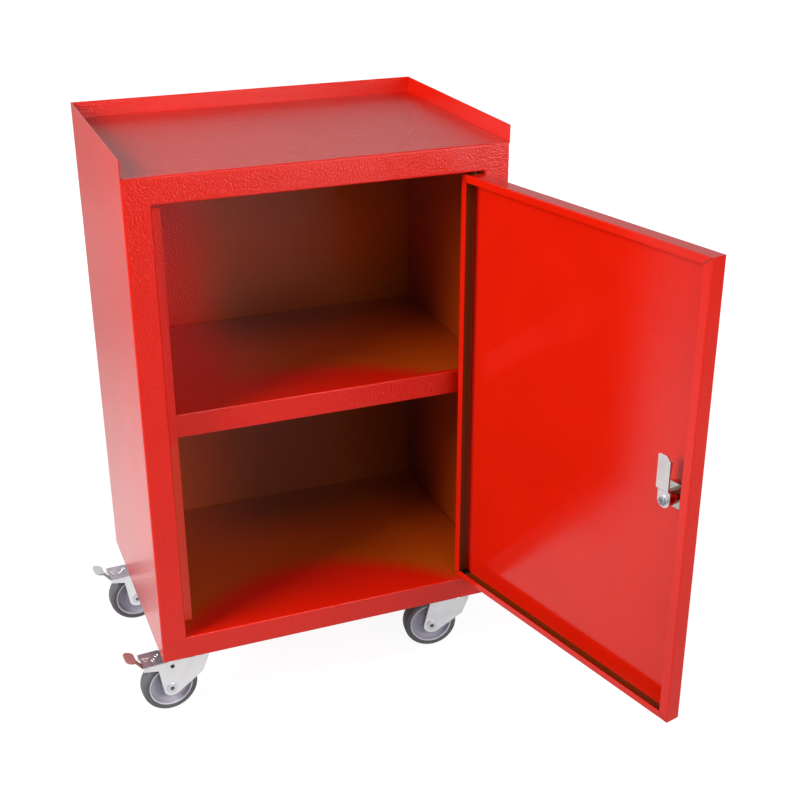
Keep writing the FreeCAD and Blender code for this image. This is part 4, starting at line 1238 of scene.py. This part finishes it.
@dataclass
class Studio:
    """Camera, white surroundings and soft lamps."""

    lens: float = 59.2765
    film: float = 36.0
    stand: Spot = (-0.49547, -1.68071, 1.17836)
    # Degrees
    turn: tuple[float, float, float] = (65.596, 0.1001, -21.5474)
    farthest: float = 100.0
    # What the world lights with, and what shiny surfaces mirror: dim in front and lit behind
    ambient: float = 0.10
    backdrop: Span = (0.06, 0.58)
    backdrop_from: Span = (-0.5, 0.6)
    paper: str = "#9A9A9A"
    paper_reach: float = 15.0
    glow_share: float = 0.4
    # The paper is whitest far off, so that it runs into the world without an edge
    open_floor: Span = (2.25, 2.6)
    open_floor_from: Span = (0.6, 2.2)
    # A patch of light is painted into the paper's glow round the cabinet, fading toward the
    # front; only the cabinet's shiny sides and front see it, as a painted reflection
    pool_middle: Spot = (-0.3, 0.3, 0.0)
    pool: Span = (1.9, 0.7)
    pool_from: Span = (0.0, 1.3)
    front: Span = (1.0, 0.15)
    front_from: Span = (-0.5, -2.6)
    lamps: tuple[SoftBox, ...] = (
        SoftBox("soft_box_left", (-1.75, -0.60, 1.50), (0.8, 1.0), 49.0),
        SoftBox("soft_box_front", (0.00, -1.95, 1.35), (0.9, 1.2), 10.0),
        SoftBox("soft_box_right", (1.30, -2.10, 1.20), (0.9, 1.2), 21.0),
        SoftBox("soft_box_low", (0.74, -2.70, 0.20), (0.45, 0.35), 1.9),
        SoftBox("soft_box_low_right", (1.50, -2.70, 0.20), (0.45, 0.35), 2.7),
        SoftBox("soft_box_back_left", (-1.9, 2.3, 1.3), (1.2, 1.2), 14.0),
        # These two stand below the tray's height, where nothing in front mirrors them
        SoftBox("soft_box_back", (0.6, 2.5, 0.42), (1.4, 0.5), 22.0),
        SoftBox("soft_box_far_right", (2.5, 0.7, 0.42), (1.2, 0.5), 24.0),
    )

    def camera(self) -> None:
        """Sets the camera up."""
        data = bpy.data.cameras.new("camera")
        data.lens = self.lens
        data.sensor_width = self.film
        data.clip_end = self.farthest
        camera = bpy.data.objects.new("camera", data)
        camera.location = self.stand
        camera.rotation_euler = [math.radians(a) for a in self.turn]
        bpy.context.scene.collection.objects.link(camera)
        bpy.context.scene.camera = camera

    def seen(
        self, tree: bpy.types.NodeTree
    ) -> tuple[bpy.types.NodeSocket, bpy.types.NodeSocket]:
        """Whether a ray came from the camera, or from the camera, a shiny surface or glass.

        Args:
            tree: The node tree.

        Returns:
            Two factors: one for the camera alone, and one for all three.
        """
        path = add_node(tree, "ShaderNodeLightPath")
        by_camera = path.outputs["Is Camera Ray"]
        factor = by_camera
        for name in ("Is Glossy Ray", "Is Transmission Ray"):
            either = {0: factor, 1: path.outputs[name]}
            factor = add_node(tree, "ShaderNodeMath", either, operation="MAXIMUM").outputs[0]
        return by_camera, factor

    def surroundings(self) -> None:
        """A white world that lights less than it shows and is mirrored from its back half."""
        world = bpy.data.worlds.new("surroundings")
        world.use_nodes = True
        tree = world.node_tree
        tree.nodes.clear()
        by_camera, seen = self.seen(tree)
        around = add_node(tree, "ShaderNodeTexCoord").outputs["Generated"]
        way = add_node(tree, "ShaderNodeSeparateXYZ", {0: around})
        lit = add_node(
            tree,
            "ShaderNodeMapRange",
            {
                "Value": way.outputs["Y"],
                "From Min": self.backdrop_from[0],
                "From Max": self.backdrop_from[1],
                "To Min": self.backdrop[0],
                "To Max": self.backdrop[1],
            },
            interpolation_type="SMOOTHSTEP",
        )
        level = add_node(
            tree, "ShaderNodeMath", {0: lit.outputs[0], 1: by_camera}, operation="MAXIMUM"
        )
        dim = add_node(tree, "ShaderNodeBackground", {"Color": WHITE, "Strength": self.ambient})
        white = add_node(
            tree, "ShaderNodeBackground", {"Color": WHITE, "Strength": level.outputs[0]}
        )
        both = add_node(
            tree, "ShaderNodeMixShader", {0: seen, 1: dim.outputs[0], 2: white.outputs[0]}
        )
        add_node(tree, "ShaderNodeOutputWorld", {"Surface": both.outputs[0]})
        bpy.context.scene.world = world

    def floor_level(
        self, tree: bpy.types.NodeTree, by_camera: bpy.types.NodeSocket
    ) -> bpy.types.NodeSocket:
        """How brightly the paper glows where it is seen, and where it is mirrored, as painted
        light round the cabinet.

        Args:
            tree: The paper's node tree.
            by_camera: One where the camera sees it.

        Returns:
            The strength.
        """
        place = add_node(tree, "ShaderNodeTexCoord").outputs["Object"]
        far = add_node(tree, "ShaderNodeVectorMath", {0: place}, operation="LENGTH")
        apart = add_node(
            tree, "ShaderNodeVectorMath", {0: place, 1: self.pool_middle}, operation="DISTANCE"
        )
        ahead = add_node(tree, "ShaderNodeSeparateXYZ", {0: place})
        levels = []
        for value, reach, level, curve in (
            (far.outputs["Value"], self.open_floor_from, self.open_floor, "LINEAR"),
            (apart.outputs["Value"], self.pool_from, self.pool, "SMOOTHSTEP"),
            (ahead.outputs["Y"], self.front_from, self.front, "SMOOTHSTEP"),
        ):
            ramp = add_node(
                tree,
                "ShaderNodeMapRange",
                {
                    "Value": value,
                    "From Min": reach[0],
                    "From Max": reach[1],
                    "To Min": level[0],
                    "To Max": level[1],
                },
                interpolation_type=curve,
            )
            levels.append(ramp.outputs[0])
        # Painted reflection: the glow painted round the cabinet, dimmed toward the front, is what
        # shiny surfaces mirror
        mirrored = add_node(
            tree, "ShaderNodeMath", {0: levels[1], 1: levels[2]}, operation="MULTIPLY"
        )
        chosen = add_node(
            tree,
            "ShaderNodeMix",
            {"Factor": by_camera, "A": mirrored.outputs[0], "B": levels[0]},
        )
        return chosen.outputs["Result"]

    def floor(self) -> None:
        """A white floor that keeps a faint shadow of the cabinet."""
        mesh = bmesh.new()
        bmesh.ops.create_grid(mesh, x_segments=4, y_segments=4, size=self.paper_reach)
        data = bpy.data.meshes.new("floor")
        mesh.to_mesh(data)
        mesh.free()
        paper = bpy.data.materials.new("backdrop_paper_white")
        paper.use_nodes = True
        tree = paper.node_tree
        tree.nodes.clear()
        by_camera, seen = self.seen(tree)
        matt = add_node(tree, "ShaderNodeBsdfDiffuse", {"Color": linear(self.paper)})
        glow = add_node(
            tree,
            "ShaderNodeEmission",
            {"Color": WHITE, "Strength": self.floor_level(tree, by_camera)},
        )
        share = add_node(
            tree, "ShaderNodeMath", {0: seen, 1: self.glow_share}, operation="MULTIPLY"
        )
        both = add_node(
            tree,
            "ShaderNodeMixShader",
            {0: share.outputs[0], 1: matt.outputs[0], 2: glow.outputs[0]},
        )
        add_node(tree, "ShaderNodeOutputMaterial", {"Surface": both.outputs[0]})
        data.materials.append(paper)
        ground = bpy.data.objects.new("floor", data)
        bpy.context.scene.collection.objects.link(ground)

    def build(self) -> None:
        """Sets up everything round the cabinet."""
        bpy.context.scene.view_settings.view_transform = "Standard"
        self.camera()
        self.surroundings()
        self.floor()
        for lamp in self.lamps:
            lamp.build()


def main() -> None:
    """Builds the cabinet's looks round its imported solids."""
    logging.basicConfig(level=logging.INFO, format="%(message)s")
    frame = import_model()
    for assembly in (
        Carcass(),
        Door(),
        Castor(Corner.FRONT_LEFT, yaw=4.0, braked=True),
        Castor(Corner.FRONT_RIGHT, yaw=-9.0, braked=False),
        Castor(Corner.BACK_LEFT, yaw=2.5, braked=True),
        Castor(Corner.BACK_RIGHT, yaw=-9.0, braked=False),
    ):
        assembly.build(frame)
    Studio().build()


if __name__ == "__main__":
    main()
